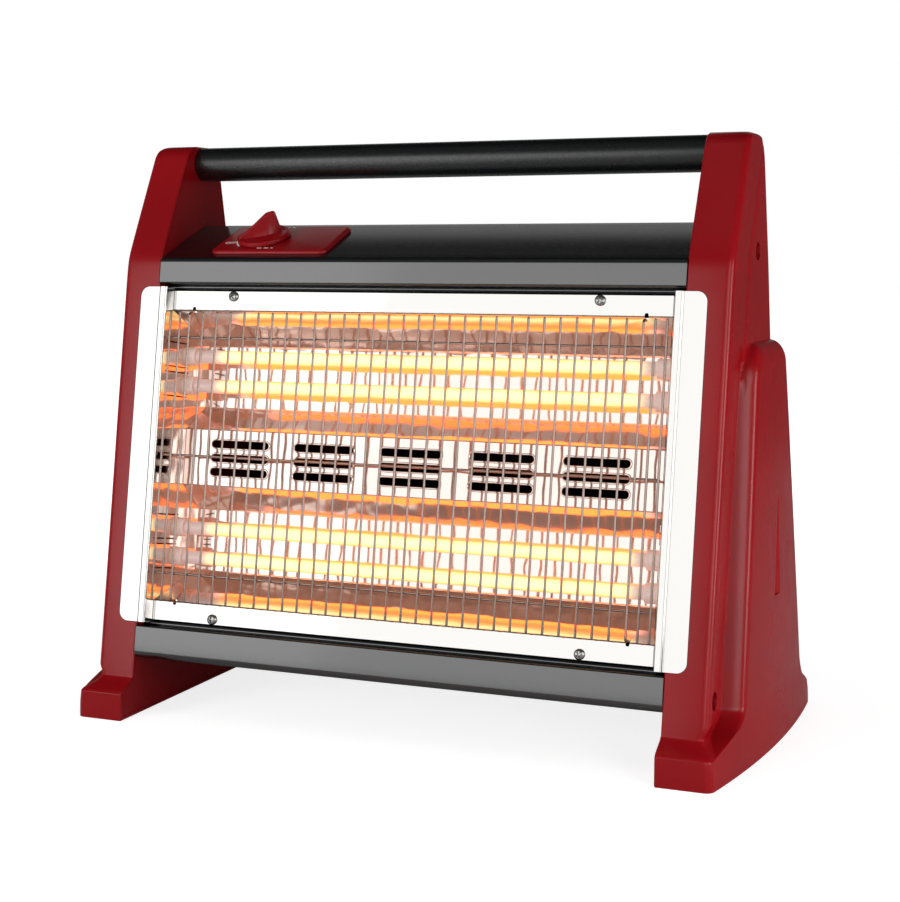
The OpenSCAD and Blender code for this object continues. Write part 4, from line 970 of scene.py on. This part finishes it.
def trough_path(lay):
    """Section of the reflector as [s, n]: flange, trough, land, trough, flange."""
    side = [[lay.flange_low_s, -lay.recess], [lay.open_low_s, -lay.recess],
            [lay.mid_s - lay.back_in - lay.back_w, -lay.trough_deep],
            [lay.mid_s - lay.back_in, -lay.trough_deep], [lay.mid_s - lay.land_w / 2, -lay.land_deep]]
    path = side + [[2 * lay.mid_s - s, n] for s, n in side[::-1]]
    return rounded(path, [2 * lay.mirror_t] * 8, 8)


def land_slots(lay):
    """Middles of the slots in the land, across and up."""
    return [(i * lay.slot_step, lay.mid_s + j * lay.slot_pitch) for i in range(-2, 3) for j in (-1, 0, 1)]


def slot_lip(lay, x, s):
    """Pressed lip round a slot: a low round bead carried along the slot's outline."""
    r = lay.slot_lip
    line = round_slot(lay.slot_l + r, lay.slot_w + r, 12)
    straight = (lay.slot_l - lay.slot_w) / 2
    out = unit(np.stack([line[:, 0] - np.clip(line[:, 0], -straight, straight), line[:, 1]], -1))
    turn = np.linspace(0, 2 * math.pi, 10, endpoint=False)
    where = line[None] + r * np.cos(turn)[:, None, None] * out[None]
    high = -lay.land_deep + r * np.sin(turn)[:, None] * np.ones(len(line))
    points = lay.on_front(x + where[..., 0], s + where[..., 1], high)
    return patch(points, wrap_rows=True, wrap_columns=True)


def reflector_cutters(lay):
    """Slots in the land and notches for the guard's hooked wires."""
    slot = round_slot(lay.slot_l, lay.slot_w)
    cutters = [prism(slot + [x, s], -lay.land_deep - 3, -lay.land_deep + 3, lay.on_front)
               for x, s in land_slots(lay)]
    notch = round_rect(1.5 * lay.wire_d, 5, 1.2)
    cutters += [prism(notch + [x * lay.hook_x, s], -lay.recess - 2.4, -lay.recess + 1, lay.on_front)
                for x in (-1, 1) for s in (lay.open_low_s, lay.open_top_s)]
    return cutters


class HEATER_OT_reflector(bpy.types.Operator):
    """Folds the trough reflector with its slotted land"""
    bl_idname = "heater.reflector"
    bl_label = "Reflector"

    def execute(self, context):
        lay = Layout()
        gap = lay.fit / math.cos(lay.flare)

        def place(share, section):
            s, n = section[:, 0], section[:, 1]
            return lay.on_front(share * (lay.flare_half(n) - gap), s, n)

        sheet = folded(trough_path(lay), -lay.mirror_t, np.linspace(-1, 1, 5), place)
        piece("trough_reflector", [sheet], "polished_sheet", ["main_reflector"],
              cutters=reflector_cutters(lay), sharp=20)
        piece("slot_lips", [slot_lip(lay, x, s) for x, s in land_slots(lay)], "polished_sheet")
        return {"FINISHED"}


class HEATER_OT_side_reflectors(bpy.types.Operator):
    """Rolls the two side strips with their beads and flared end walls"""
    bl_idname = "heater.side_reflectors"
    bl_label = "Side reflectors"

    def execute(self, context):
        lay = Layout()
        low, top = lay.panel_s + lay.strip_gap, lay.fascia_s - lay.strip_gap
        deep = lay.trough_deep + 3 * lay.mirror_t
        bead_x, outer = lay.open_half + lay.bead_w, lay.half_w + lay.strip_lap
        inset, turn_n = lay.bead_h / 4, -lay.recess - lay.fit
        path = [[outer, 0], [bead_x, 0], [bead_x - inset, lay.bead_h],
                [lay.open_half + 2 * inset, lay.bead_h], [lay.open_half, 0],
                [lay.flare_half(turn_n), turn_n]]
        line = rounded(path, [lay.mirror_t + 0.5] * 4, 8)
        ease = lay.strip_r * (1 - np.cos(np.linspace(0, math.pi / 2, 12)))
        stations = np.concatenate([low + ease, top - ease[::-1]])

        def strip(s, section):
            end = min(s - low, top - s)
            limit = outer - float(edge_fall(np.array(end), lay.strip_r))
            return lay.on_front(np.minimum(section[:, 0], limit), s, section[:, 1])

        wall_line = np.array([[lay.flare_half(turn_n), turn_n], [lay.flare_half(-deep), -deep]])
        wall = folded(wall_line, lay.mirror_t, [lay.open_low_s - 3, lay.open_top_s + 3],
                      lambda s, section: lay.on_front(section[:, 0], s, section[:, 1]))
        forms = [folded(line, lay.mirror_t, stations, strip), wall]
        cutters = []
        hole_r = lay.cap_d / 2 + lay.fit
        for s in lay.tube_s:
            middle = lay.on_front(lay.plate_at_tube - lay.cap_d, s, -lay.tube_deep)
            through = 2 * lay.cap_d
            cutters.append(turned([[0, 0], [hole_r, 0], [hole_r, through], [0, through]], middle, [1, 0, 0]))
            for j in (-1, 1):
                slit_l = lay.tube_deep - 3
                slit = round_slot(1, slit_l) + [s + j * (hole_r + 1.7), -lay.tube_deep + slit_l / 2]
                cutters.append(prism(slit, lay.plate_at_tube - 14, lay.half_w,
                                     lambda a, b, c: lay.on_front(c, a, b)))
        pair("side_strip", forms, "polished_sheet", "side_reflector", cutters, 25)
        return {"FINISHED"}


# Guard

class HEATER_OT_wire_guard(bpy.types.Operator):
    """Welds the guard: upright wires in front, cross wires behind, two hooked uprights"""
    bl_idname = "heater.wire_guard"
    bl_label = "Wire guard"

    def execute(self, context):
        lay = Layout()
        low, top, n = lay.open_low_s + lay.fit, lay.open_top_s - 1.6, -lay.wire_d / 2
        hooks = (-lay.hook_x, lay.hook_x)
        plain = [x for x in np.linspace(-lay.hook_x, lay.hook_x, lay.wire_gaps + 1) if x not in hooks]
        plain += [a * (lay.hook_x + k * lay.edge_step) for a in (-1, 1) for k in (1, 2)]
        forms = [bar(lay.on_front(x, np.array([low, lay.mid_s, top]), n), lay.wire_d) for x in plain]
        deep, bend = lay.lip_n + lay.fit, 2.2
        for x in hooks:
            ends = low + lay.wire_d / 2, top - lay.wire_d / 2
            section = rounded([[ends[0], deep], [ends[0], n], [ends[1], n], [ends[1], deep]], [bend, bend])
            forms.append(bar(lay.on_front(x, section[:, 0], section[:, 1]), lay.wire_d, up=(1, 0, 0)))
        reach = lay.hook_x + 2 * lay.edge_step + lay.wire_d / 2
        behind = n - lay.wire_d + 0.3
        forms += [bar(lay.on_front(np.array([-reach, 0, reach]), lay.mid_s + j * lay.cross_step, behind),
                      lay.wire_d) for j in (-1, 0, 1)]
        piece("guard_wires", forms, "guard_wire", ["wire_guard"], sharp=60)
        return {"FINISHED"}


# Tubes

def tube_form(lay, s):
    """Quartz tube: a ring profile with fire-polished ends, turned about the tube's line."""
    r, t, half = lay.tube_d / 2, lay.tube_t, lay.tube_end_x
    turn = np.linspace(0, math.pi, 9)
    tip = np.stack([r - t / 2 + t / 2 * np.cos(turn), half - t / 2 + t / 2 * np.sin(turn)], -1)
    ladder = np.linspace(-half + t, half - t, 40)
    profile = np.concatenate([np.stack([np.full(40, r), ladder], -1), tip,
                              np.stack([np.full(40, r - t), ladder[::-1]], -1), tip[::-1] * [1, -1]])
    profile = np.concatenate([profile, profile[:1]])
    return turned(profile, lay.on_front(0, s, -lay.tube_deep), [1, 0, 0], 40)


def mark_round(obj, lay, s):
    """Gives a tube a UV map whose second value goes from 0 at its back to 1 at its front."""
    mesh = obj.data
    co = vertices(mesh) / MM - lay.on_front(0, s, -lay.tube_deep)
    forward = np.array([0, -math.cos(lay.lean), math.sin(lay.lean)])
    share = np.clip(0.5 + co @ forward / lay.tube_d, 0, 1)
    corner = np.zeros(len(mesh.loops), dtype=np.int64)
    mesh.loops.foreach_get("vertex_index", corner)
    layer = mesh.uv_layers.new(name="round")
    layer.data.foreach_set("uv", np.stack([co[corner, 0] / lay.tube_end_x, share[corner]], -1).ravel())


def coil_form(lay, s):
    """Heating coil: a helix inside the tube, led to the tube's line at both ends."""
    r = lay.tube_d / 2 - lay.tube_t - lay.coil_wire / 2 - lay.fit
    end = lay.tube_end_x + lay.fit
    half = end - lay.coil_lead
    t = np.linspace(0, 1, 12 * lay.coil_curls + 1)
    turn = 2 * math.pi * lay.coil_curls * t
    helix = np.stack([mix(-half, half, t), r * np.cos(turn), r * np.sin(turn)], -1)
    lead = np.array([[end, 0, 0], [end - lay.coil_lead / 2, 0, 0]])
    path = np.concatenate([lead * [-1, 1, 1], helix, lead[::-1]])
    return swept(lay.on_front(path[:, 0], s + path[:, 1], path[:, 2] - lay.tube_deep), lay.coil_wire / 2, 6,
                 (0.31, 0.8, -0.52))


class HEATER_OT_tubes(bpy.types.Operator):
    """Draws the four quartz tubes with their heating coils"""
    bl_idname = "heater.tubes"
    bl_label = "Quartz tubes"

    def execute(self, context):
        lay = Layout()
        for i, s in enumerate(lay.tube_s, 1):
            tube = piece(f"lit_tube_{i}", [tube_form(lay, s)], "quartz", [f"quartz_tube_{i}"])
            mark_round(tube, lay, s)
            piece(f"wound_coil_{i}", [coil_form(lay, s)], "heating_wire", [f"heating_coil_{i}"], sharp=80)
        return {"FINISHED"}


class HEATER_OT_end_caps(bpy.types.Operator):
    """Presses the ceramic caps that carry the tube ends"""
    bl_idname = "heater.end_caps"
    bl_label = "Ceramic caps"

    def execute(self, context):
        lay = Layout()
        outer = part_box("right_end_caps")[1].x / MM
        flange_t, lip, ease, bore = 2.5, 1.5, 0.8, lay.tube_d / 2 + 0.05
        r = lay.cap_d / 2
        a, b, c = lay.cap_inner_x, outer - flange_t, outer
        profile = rounded([[bore, lay.tube_end_x], [bore, a], [r, a], [r, b], [r + lip, b], [r + lip, c],
                           [2.05, c], [2.05, lay.tube_end_x], [bore, lay.tube_end_x]],
                          [ease / 2, ease, 0.3, 0.3, 0.3, 0.3, 0.1], 5)
        forms = [turned(profile, lay.on_front(0, s, -lay.tube_deep), [1, 0, 0]) for s in lay.tube_s]
        pair("ceramic_caps", forms, "ceramic", "end_caps")
        return {"FINISHED"}


# Handle and control

class HEATER_OT_handle(bpy.types.Operator):
    """Turns the carrying bar"""
    bl_idname = "heater.handle"
    bl_label = "Handle"

    def execute(self, context):
        low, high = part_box("handle_bar")
        middle = np.array((low + high) / 2) / MM
        half, r, t, ease = (high.x - low.x) / 2 / MM, (high.z - low.z) / 2 / MM, 1.5, 0.5
        profile = rounded([[r - t, 0], [r - t, -half], [r, -half], [r, half], [r - t, half], [r - t, 0]],
                          [0.3, ease, ease, 0.3], 6)
        piece("carrying_bar", [turned(profile, middle, [1, 0, 0], 96)], "black_paint", ["handle_bar"],
              look="bar_paint")
        return {"FINISHED"}


def plate_form(lay):
    """Control plate: a rounded rectangle whose top edge is a quarter round."""
    ease = 2.3
    turn = np.linspace(0, math.pi / 2, 8)
    inset = np.concatenate([[0.3, 0], ease * (1 - np.cos(turn))])
    height = np.concatenate([[0, 0.3], lay.plate_t - ease + ease * np.sin(turn)])
    middle = lay.plate_up + lay.plate_d / 2
    rings = []
    for i, h in zip(inset, height):
        line = round_rect(lay.plate_w - 2 * i, lay.plate_d - 2 * i, lay.plate_r - i, 14)
        rings.append(lay.on_cowl(line[:, 0] - lay.plate_x, line[:, 1] + middle, h))
    return loft(np.stack(rings))


def printed(name, forms):
    """Printed marks on the control plate."""
    obj = raw_object(name, forms)
    obj.data.materials.append(finish("ink"))
    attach(obj, BODY)


def word_form(text, size, x, up, lay):
    """A word as a closed mesh on the control plate, centred on a place."""
    curve = bpy.data.curves.new("word", "FONT")
    curve.body, curve.size, curve.extrude = text, size, INK / 2
    curve.align_x, curve.align_y = "CENTER", "CENTER"
    holder = linked("word", curve)
    mesh = evaluated(holder)
    points, faces = vertices(mesh), [list(p.vertices) for p in mesh.polygons]
    bpy.data.objects.remove(holder)
    return lay.on_cowl(x + points[:, 0], up + points[:, 1], lay.plate_t + INK / 2 + points[:, 2]), faces


# Place across, place up the slope and width of each dash, all in millimetres
DASHES = ((-123.5, 13.6, 3.8), (-117.8, 13.6, 3.8), (-113.2, 13.6, 2), (-118.6, 56, 2.4), (-114.8, 56, 2.4))
DASH_T = 1.1
ARC_TURN = 193, 230  # degrees round the knob's axis


class HEATER_OT_control_plate(bpy.types.Operator):
    """Moulds the control plate and prints its marks"""
    bl_idname = "heater.control_plate"
    bl_label = "Control plate"

    def execute(self, context):
        lay = Layout()
        piece("plate_moulding", [plate_form(lay)], "red_moulding", ["control_plate"])
        marks = [word_form("OFF", 5.2, -152.5, 24, lay)]

        def mark(line):
            return prism(line, lay.plate_t, lay.plate_t + INK, lay.on_cowl)

        for x, up, w in DASHES:
            marks.append(mark(round_slot(w, DASH_T, 5) + [x, up]))
        turn = np.radians(np.linspace(*ARC_TURN, 12))
        arc = lay.knob_d / 2 * np.stack([np.cos(turn), np.sin(turn)], -1)
        marks.append(mark(np.concatenate([arc, 1.05 * arc[::-1]]) + [-lay.knob_x, lay.knob_up]))
        printed("plate_marks", marks)
        return {"FINISHED"}


def knob_point(lay, x, y, z):
    """Points of the knob: x towards the fin's tip, y across it, z up from the knob's foot."""
    c, k = math.cos(lay.off_heading), math.sin(lay.off_heading)
    return lay.on_cowl(-lay.knob_x + x * c - y * k, lay.knob_up + x * k + y * c,
                       lay.plate_t + lay.knob_gap + z)


def knob_line(lay):
    """The knob's foot on its axis, and the axis."""
    foot = knob_point(lay, 0, 0, 0)
    return foot, knob_point(lay, 0, 0, 1) - foot


def fin_form(lay):
    """Fin: sections across it, from tip to heel, each a blade that flares in a hollow to its foot.

    The top line is straight from the tip to the peak, rounds over it and falls steeply to the heel.
    """
    r = lay.knob_d / 2
    top = lay.skirt_h + lay.fin_h
    line = rounded([[r - 0.6, 0.5 * lay.skirt_h], [r - 1.2, lay.skirt_h + 0.3], [-0.24 * r, top - 0.4],
                    [-0.56 * r, top], [-0.7 * r, 0.5 * lay.skirt_h]], [0.6, 6, 2.4], 14)
    stations, corners = np.linspace(0, 1, 90), np.linspace(0, 1, len(line))
    x, high = (np.interp(stations, corners, line[:, i]) for i in (0, 1))
    share = (x[0] - x) / (x[0] - x[-1])
    foot = np.maximum(lay.fin_w / 2 * np.sin(math.pi * np.clip(share, 0, 0.97) ** 1.15) ** 0.7, 0.4)
    blade = np.minimum(mix(0.7, 2.4, share), foot)
    up = np.linspace(0, 1, 18)
    flare = (1 - up) ** 2.2
    half = blade[:, None] + (foot - blade)[:, None] * flare * smooth(0, 0.3, high / top)[:, None]
    half = half * np.sqrt(np.clip(1 - np.clip((up - 0.88) / 0.12, 0, 1) ** 2, 0.02, 1))
    y = np.concatenate([half, -half[:, ::-1]], 1)
    z = np.concatenate([high[:, None] * up, high[:, None] * up[::-1]], 1)
    return loft(knob_point(lay, np.broadcast_to(x[:, None], y.shape), y, z))


def skirt_form(lay):
    """Skirt: a disc with a round edge and a shallow dish, hollow underneath."""
    r, edge, room, deep = lay.knob_d / 2, 1.4, 11.8, 2.6
    profile = rounded([[0, deep], [room, deep], [room, 0], [r, 0], [r, lay.skirt_h], [r - 3.2, lay.skirt_h],
                       [r - 5, lay.skirt_h - 0.4], [0, lay.skirt_h - 0.4]],
                      [0.2, 0.2, 0.4, edge, 1, 1], 8)
    return turned(profile, *knob_line(lay), 96)


class HEATER_OT_control_knob(bpy.types.Operator):
    """Moulds the pointer knob and turns its shaft"""
    bl_idname = "heater.control_knob"
    bl_label = "Control knob"

    def execute(self, context):
        lay = Layout()
        piece("knob_moulding", [skirt_form(lay), fin_form(lay)], "red_moulding", ["control_knob"],
              body=KNOB_BODY, sharp=40)
        foot, axis = knob_line(lay)
        r = lay.shaft_d / 2
        low = (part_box("switch_shaft")[0].z / MM + r * math.sin(lay.cowl_slope) - foot[2]) / axis[2]
        profile = rounded([[0, low], [r, low], [r, lay.skirt_h], [0, lay.skirt_h]], [0.4, 0.4], 4)
        piece("turned_shaft", [turned(profile, foot, axis, 40)], "plated_steel", ["switch_shaft"],
              body=KNOB_BODY)
        return {"FINISHED"}


# Screws and bush

HEAD_D, HEAD_H, SHANK_D, SHANK_L = 7.6, 2.4, 3.6, 6  # of every pan-head screw, in millimetres
SCREW_SET = 10.6  # flange screws from the edge of the opening, in millimetres


def screw_form(seat, axis, across_axis):
    """Pan-head screw: a domed head with a cross recess pressed into it, on a plain shank.

    The head is a grid of rings and spokes whose height is a dome less the depth of two crossed slots.
    """
    axis = unit(np.asarray(axis, float))
    u = unit(np.cross(axis, np.asarray(across_axis, float)))
    v = np.cross(axis, u)
    r = HEAD_D / 2
    radius = np.concatenate([np.linspace(0, 0.96, 22), [1]])[:, None] * r
    turn = np.linspace(0, 2 * math.pi, 56, endpoint=False)[None]
    x, y = radius * np.cos(turn), radius * np.sin(turn)
    dome = HEAD_H * (0.35 + 0.65 * np.sqrt(np.maximum(0, 1 - (radius / r) ** 2.2)))
    arm, half, ease = 0.52 * r, 0.13 * r, 0.12

    def slot(a, b):
        wide = 1 - smooth(half - ease, half + ease, np.abs(a))
        return wide * (1 - smooth(arm - ease, arm + 2 * ease, np.abs(b)))

    press = np.maximum(slot(x, y), slot(y, x))
    high = dome - 0.8 * HEAD_H * press
    shape = np.stack([x, y, high], -1)

    def ring(rad, h):
        return np.stack([rad * np.cos(turn[0]), rad * np.sin(turn[0]), np.full(turn.shape[1], h)], -1)

    grid = np.concatenate([shape, np.stack([ring(r, 0), ring(SHANK_D / 2, 0), ring(SHANK_D / 2, -SHANK_L),
                                            ring(0, -SHANK_L - 1)])])
    points = np.asarray(seat) + grid[..., :1] * u + grid[..., 1:2] * v + grid[..., 2:] * axis
    return patch(points, wrap_columns=True)


class HEATER_OT_screws(bpy.types.Operator):
    """Sets the screws of the reflector, the end frames and the back"""
    bl_idname = "heater.screws"
    bl_label = "Screws"

    def execute(self, context):
        lay = Layout()
        out = lay.on_front(0, 0, 1) - lay.on_front(0, 0, 0)
        low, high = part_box("bezel_screws")
        x = (high.x - low.x) / 2 / MM - HEAD_D / 2
        turns = ((1, 0.2, 0), (1, 0.5, 0.3), (0.8, 0.1, 0.6), (0.6, 0, 0.9))
        seats = [(a * x, s) for a in (-1, 1) for s in (lay.open_low_s - SCREW_SET, lay.open_top_s + SCREW_SET)]
        forms = [screw_form(lay.on_front(a, s, -lay.recess), out, t) for (a, s), t in zip(seats, turns)]
        piece("bezel_pan_screws", forms, "plated_steel", ["bezel_screws"], sharp=40)
        forms = [screw_form([a * (lay.half_w + lay.sink_floor), y, z], [a, 0, 0], t)
                 for a in (-1, 1) for (y, z), t in zip(end_screw_places(lay), ((0, 1, 0.3), (0, 0.4, 1)))]
        piece("end_pan_screws", forms, "dark_screw", ["end_screws"], sharp=40)
        back = lay.on_rear(0, 0, 1) - lay.on_rear(0, 0, 0)
        low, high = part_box("rear_screws")
        x = (high.x - low.x) / 2 / MM - HEAD_D / 2
        rise = np.array([low.z, high.z]) / MM + np.array([1, -1]) * HEAD_D / 2 * math.cos(lay.rear_lean)
        forms = [screw_form(lay.on_rear(a * x, z / math.cos(lay.rear_lean), 0), back, t)
                 for a in (-1, 0, 1) for z, t in zip(rise, ((1, 0.3, 0), (0.4, 0, 1)))]
        piece("rear_pan_screws", forms, "dark_screw", ["rear_screws"], sharp=40)
        return {"FINISHED"}


class HEATER_OT_inlet_bush(bpy.types.Operator):
    """Turns the cord inlet bush"""
    bl_idname = "heater.inlet_bush"
    bl_label = "Inlet bush"

    def execute(self, context):
        lay = Layout()
        low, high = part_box("cord_inlet_bush")
        middle = np.array((low + high) / 2) / MM
        out = lay.on_rear(0, 0, 1) - lay.on_rear(0, 0, 0)
        bore, flange, neck, head, tail = 4.25, 8, 6, 5, 4
        seat = middle - out * (head - tail) / 2
        profile = rounded([[bore, 0], [bore, head], [flange, head], [flange, 0], [neck, 0],
                           [neck, -lay.sheet_t], [flange, -lay.sheet_t], [flange - 1, -tail], [bore, -tail],
                           [bore, 0]], [1.4, 1.6, 0.2, 0.1, 0.1, 0.3, 0.3, 0.5], 6)
        piece("inlet_grommet", [turned(profile, seat, out, 64)], "black_plastic", ["cord_inlet_bush"])
        return {"FINISHED"}


PAINTED_NODES = {
    "red_moulding": ("left_end_cover", "right_end_cover"),
    "black_paint": ("rear_panel",),
    "plated_steel": ("terminal_studs", "terminal_nuts", "switch_nut", "handle_screws", "tilt_pendulum"),
    "brass": ("terminal_links",),
    "ceramic": ("thermal_cutout",),
    "black_plastic": ("handle_plugs", "rotary_switch", "tilt_switch_frame"),
    "pale_plastic": ("terminal_block",),
}


class HEATER_OT_inner_pieces(bpy.types.Operator):
    """Finishes the pieces whose construction shows as it is"""
    bl_idname = "heater.inner_pieces"
    bl_label = "Inner pieces"

    def execute(self, context):
        for slot, nodes in PAINTED_NODES.items():
            for node in nodes:
                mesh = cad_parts[node].data
                mesh.materials.clear()
                mesh.materials.append(finish(slot))
        return {"FINISHED"}


# Stage

CAMERA_PLACE = (0.464, -1.1214, 0.339)
CAMERA_TURN = (83.2, 0, 22.08)
CAMERA_LENS, SENSOR = 65.85, 36
BACKDROP_WAY = (-0.376, 0.927, 0)
FLOOR_REACH = 12
WHITE = (1, 1, 1, 1)
# Name, place, aim, size and power of each lamp that gloss reflects
SOFT_BOXES = (
    ("front soft box", (-0.72, -1.75, 0.57), (0, 0, 0.3), (1.4, 1.1), 5.6),
    ("left soft box", (-1.2, -1.6, 0.53), (0, 0, 0.3), (0.8, 1.0), 1.0),
    ("right soft box", (1.2, -1.05, 0.5), (0.23, 0, 0.25), (0.5, 0.9), 3.5),
    ("near card", (0.95, -2.2, 0.6), (0, 0, 0.3), (0.8, 0.8), 1.3),
    ("right strip light", (1.8, -0.12, 0.35), (0.23, 0, 0.2), (0.5, 0.8), 6),
    ("rear card", (-0.2, 0.665, 0.76), (-0.2, 0.665, 0), (0.9, 0.4), 0.45),
)
# Name, place, size and power of each lamp that lights matt surfaces only
FLOODS = (
    ("right flood", (0.6, -0.42, 0.22), (0.2, 0.4), 0.8),
    ("side flood", (1.8, -0.05, 0.16), (0.3, 0.3), 12),
    ("left flood", (-0.9, -1.4, 0.35), (0.6, 0.6), 13),
    ("far side flood", (-1.8, 0.1, 0.4), (0.5, 0.5), 7),
    ("back flood", (-0.2, 1.9, 0.5), (0.8, 0.6), 5),
    ("top flood", (-0.1, -0.7, 2.0), (1.0, 0.6), 4),
)
FLOOD_AIM = (0.1, 0, 0.2)


def lamp(name, place, aim, size, power):
    """A soft box: an area light at a place, turned to its aim, not seen by the camera itself."""
    data = bpy.data.lights.new(name, "AREA")
    data.shape = "RECTANGLE"
    data.size, data.size_y = size
    data.energy = power
    obj = linked(name, data)
    obj.location = place
    obj.rotation_euler = (Vector(aim) - Vector(place)).to_track_quat("-Z", "Y").to_euler()
    obj.visible_camera = False
    return obj


def studio_floor():
    """Pale painted floor: lit softly, and lifted to white where the camera sees it, more so far off."""
    material, tree, where = blank("pale studio floor")
    path = add(tree, "ShaderNodeLightPath")
    mottle = add(tree, "ShaderNodeTexNoise", {"Vector": where, "Scale": per(400), "Detail": 2.0})
    ramp = add(tree, "ShaderNodeValToRGB", {"Fac": mottle.outputs["Fac"]},
               ((0, linear("#b2b2b2")), (1, linear("#b8b8b8"))))
    away = add(tree, "ShaderNodeVectorMath", {0: where}, operation="LENGTH")
    white = add(tree, "ShaderNodeMapRange",
                {"Value": away.outputs["Value"], "From Min": 0.35, "From Max": 0.9,
                 "To Min": 0.8, "To Max": 1.1}, interpolation_type="SMOOTHSTEP")
    lift = add(tree, "ShaderNodeMath", {0: path.outputs["Is Camera Ray"], 1: white.outputs["Result"]},
               operation="MULTIPLY")
    close(tree, add(tree, "ShaderNodeBsdfPrincipled",
                    {"Base Color": ramp.outputs["Color"], "Roughness": 0.9, "Emission Color": WHITE,
                     "Emission Strength": lift.outputs[0]}))
    return material


def studio_world():
    """White backdrop behind the object in a dim room: white to the camera, plain fill for matt surfaces.

    Gloss and glass see the backdrop too: white round the way it stands and near the horizon, by a
    smooth step sideways and another upwards, and the dim room, darker behind and above, elsewhere.
    """
    world = bpy.data.worlds.new("white studio")
    world.use_nodes = True
    tree = world.node_tree
    tree.nodes.clear()
    path = add(tree, "ShaderNodeLightPath")
    where = add(tree, "ShaderNodeTexCoord").outputs["Generated"]
    split = add(tree, "ShaderNodeSeparateXYZ", {"Vector": where})
    facing = add(tree, "ShaderNodeVectorMath", {0: where, 1: BACKDROP_WAY}, operation="DOT_PRODUCT")
    behind, low, room, high = (
        add(tree, "ShaderNodeMapRange",
            {"Value": value, "From Min": a, "From Max": b, "To Min": c, "To Max": d},
            interpolation_type="SMOOTHSTEP").outputs["Result"]
        for value, a, b, c, d in ((facing.outputs["Value"], 0.93, 0.98, 0.0, 1.0),
                                  (split.outputs["Z"], 0.3, 0.62, 1.0, 0.0),
                                  (split.outputs["Y"], -0.4, 0.1, 0.35, 0.06),
                                  (split.outputs["Z"], 0.35, 0.65, 1.0, 0.25)))
    both = add(tree, "ShaderNodeMath", {0: behind, 1: low}, operation="MULTIPLY")
    dim = add(tree, "ShaderNodeMath", {0: room, 1: high}, operation="MULTIPLY")
    sky = add(tree, "ShaderNodeMath", {0: both.outputs[0], 1: 0.6, 2: dim.outputs[0]},
              operation="MULTIPLY_ADD")
    seen = add(tree, "ShaderNodeMath",
               {0: path.outputs["Is Glossy Ray"], 1: path.outputs["Is Transmission Ray"]},
               operation="MAXIMUM")
    fill, gloss, white = (add(tree, "ShaderNodeBackground", {"Color": WHITE, "Strength": strength})
                          for strength in (0.12, sky.outputs[0], 1.0))
    mirror = add(tree, "ShaderNodeMixShader", {0: seen.outputs[0], 1: fill.outputs[0], 2: gloss.outputs[0]})
    view = add(tree, "ShaderNodeMixShader",
               {0: path.outputs["Is Camera Ray"], 1: mirror.outputs[0], 2: white.outputs[0]})
    add(tree, "ShaderNodeOutputWorld", {"Surface": view.outputs[0]})
    bpy.context.scene.world = world


class HEATER_OT_stage(bpy.types.Operator):
    """Sets the floor, the soft light and the camera"""
    bl_idname = "heater.stage"
    bl_label = "Stage"

    def execute(self, context):
        scene = context.scene
        corners = [[a * FLOOR_REACH, b * FLOOR_REACH, 0.0] for a, b in ((-1, -1), (1, -1), (1, 1), (-1, 1))]
        mesh = bpy.data.meshes.new("floor")
        mesh.from_pydata(corners, [], [[0, 1, 2, 3]])
        floor = linked("floor", mesh)
        mesh.materials.append(studio_floor())
        studio_world()
        for box in SOFT_BOXES:
            lamp(*box)
        for name, place, size, power in FLOODS:
            lamp(name, place, FLOOD_AIM, size, power).visible_glossy = False
        data = bpy.data.cameras.new("camera")
        data.lens, data.sensor_width, data.sensor_fit = CAMERA_LENS, SENSOR, "AUTO"
        camera = linked("camera", data)
        camera.location = CAMERA_PLACE
        camera.rotation_euler = [math.radians(a) for a in CAMERA_TURN]
        scene.camera = camera
        scene.view_settings.view_transform = "Standard"
        return {"FINISHED"}


OPERATORS = (
    HEATER_OT_stage, HEATER_OT_end_frames, HEATER_OT_sheet_body, HEATER_OT_reflector,
    HEATER_OT_side_reflectors, HEATER_OT_wire_guard, HEATER_OT_tubes, HEATER_OT_end_caps,
    HEATER_OT_handle, HEATER_OT_control_plate, HEATER_OT_control_knob, HEATER_OT_screws,
    HEATER_OT_inlet_bush, HEATER_OT_inner_pieces,
)
GROUPS = {
    "heater_frame": HeaterEndFrame, "heater_body": HeaterBody,
    "heater_fire": HeaterFire, "heater_colours": HeaterColours,
}


class HEATER_PT_panel(bpy.types.Panel):
    """Lists the heater's pieces"""
    bl_idname = "HEATER_PT_panel"
    bl_label = "Quartz bar heater"
    bl_space_type = "VIEW_3D"
    bl_region_type = "UI"
    bl_category = "Heater"

    def draw(self, context):
        for operator in OPERATORS:
            self.layout.operator(operator.bl_idname)
        for group in GROUPS:
            box = self.layout.box()
            for key in GROUPS[group].__annotations__:
                box.prop(getattr(context.scene, group), key)


def register():
    """Registers the classes and hangs the sizes and colours on the scene."""
    for group in GROUPS.values():
        bpy.utils.register_class(group)
    for key, group in GROUPS.items():
        setattr(bpy.types.Scene, key, PointerProperty(type=group))
    for operator in (*OPERATORS, HEATER_PT_panel):
        bpy.utils.register_class(operator)


def unregister():
    """Takes the classes and the scene's sizes away again."""
    for operator in (HEATER_PT_panel, *OPERATORS[::-1]):
        bpy.utils.unregister_class(operator)
    for key, group in GROUPS.items():
        delattr(bpy.types.Scene, key)
        bpy.utils.unregister_class(group)


def main():
    """Registers the classes and builds every piece in order."""
    register()
    for operator in OPERATORS:
        area, name = operator.bl_idname.split(".")
        getattr(getattr(bpy.ops, area), name)()


if __name__ == "__main__":
    main()
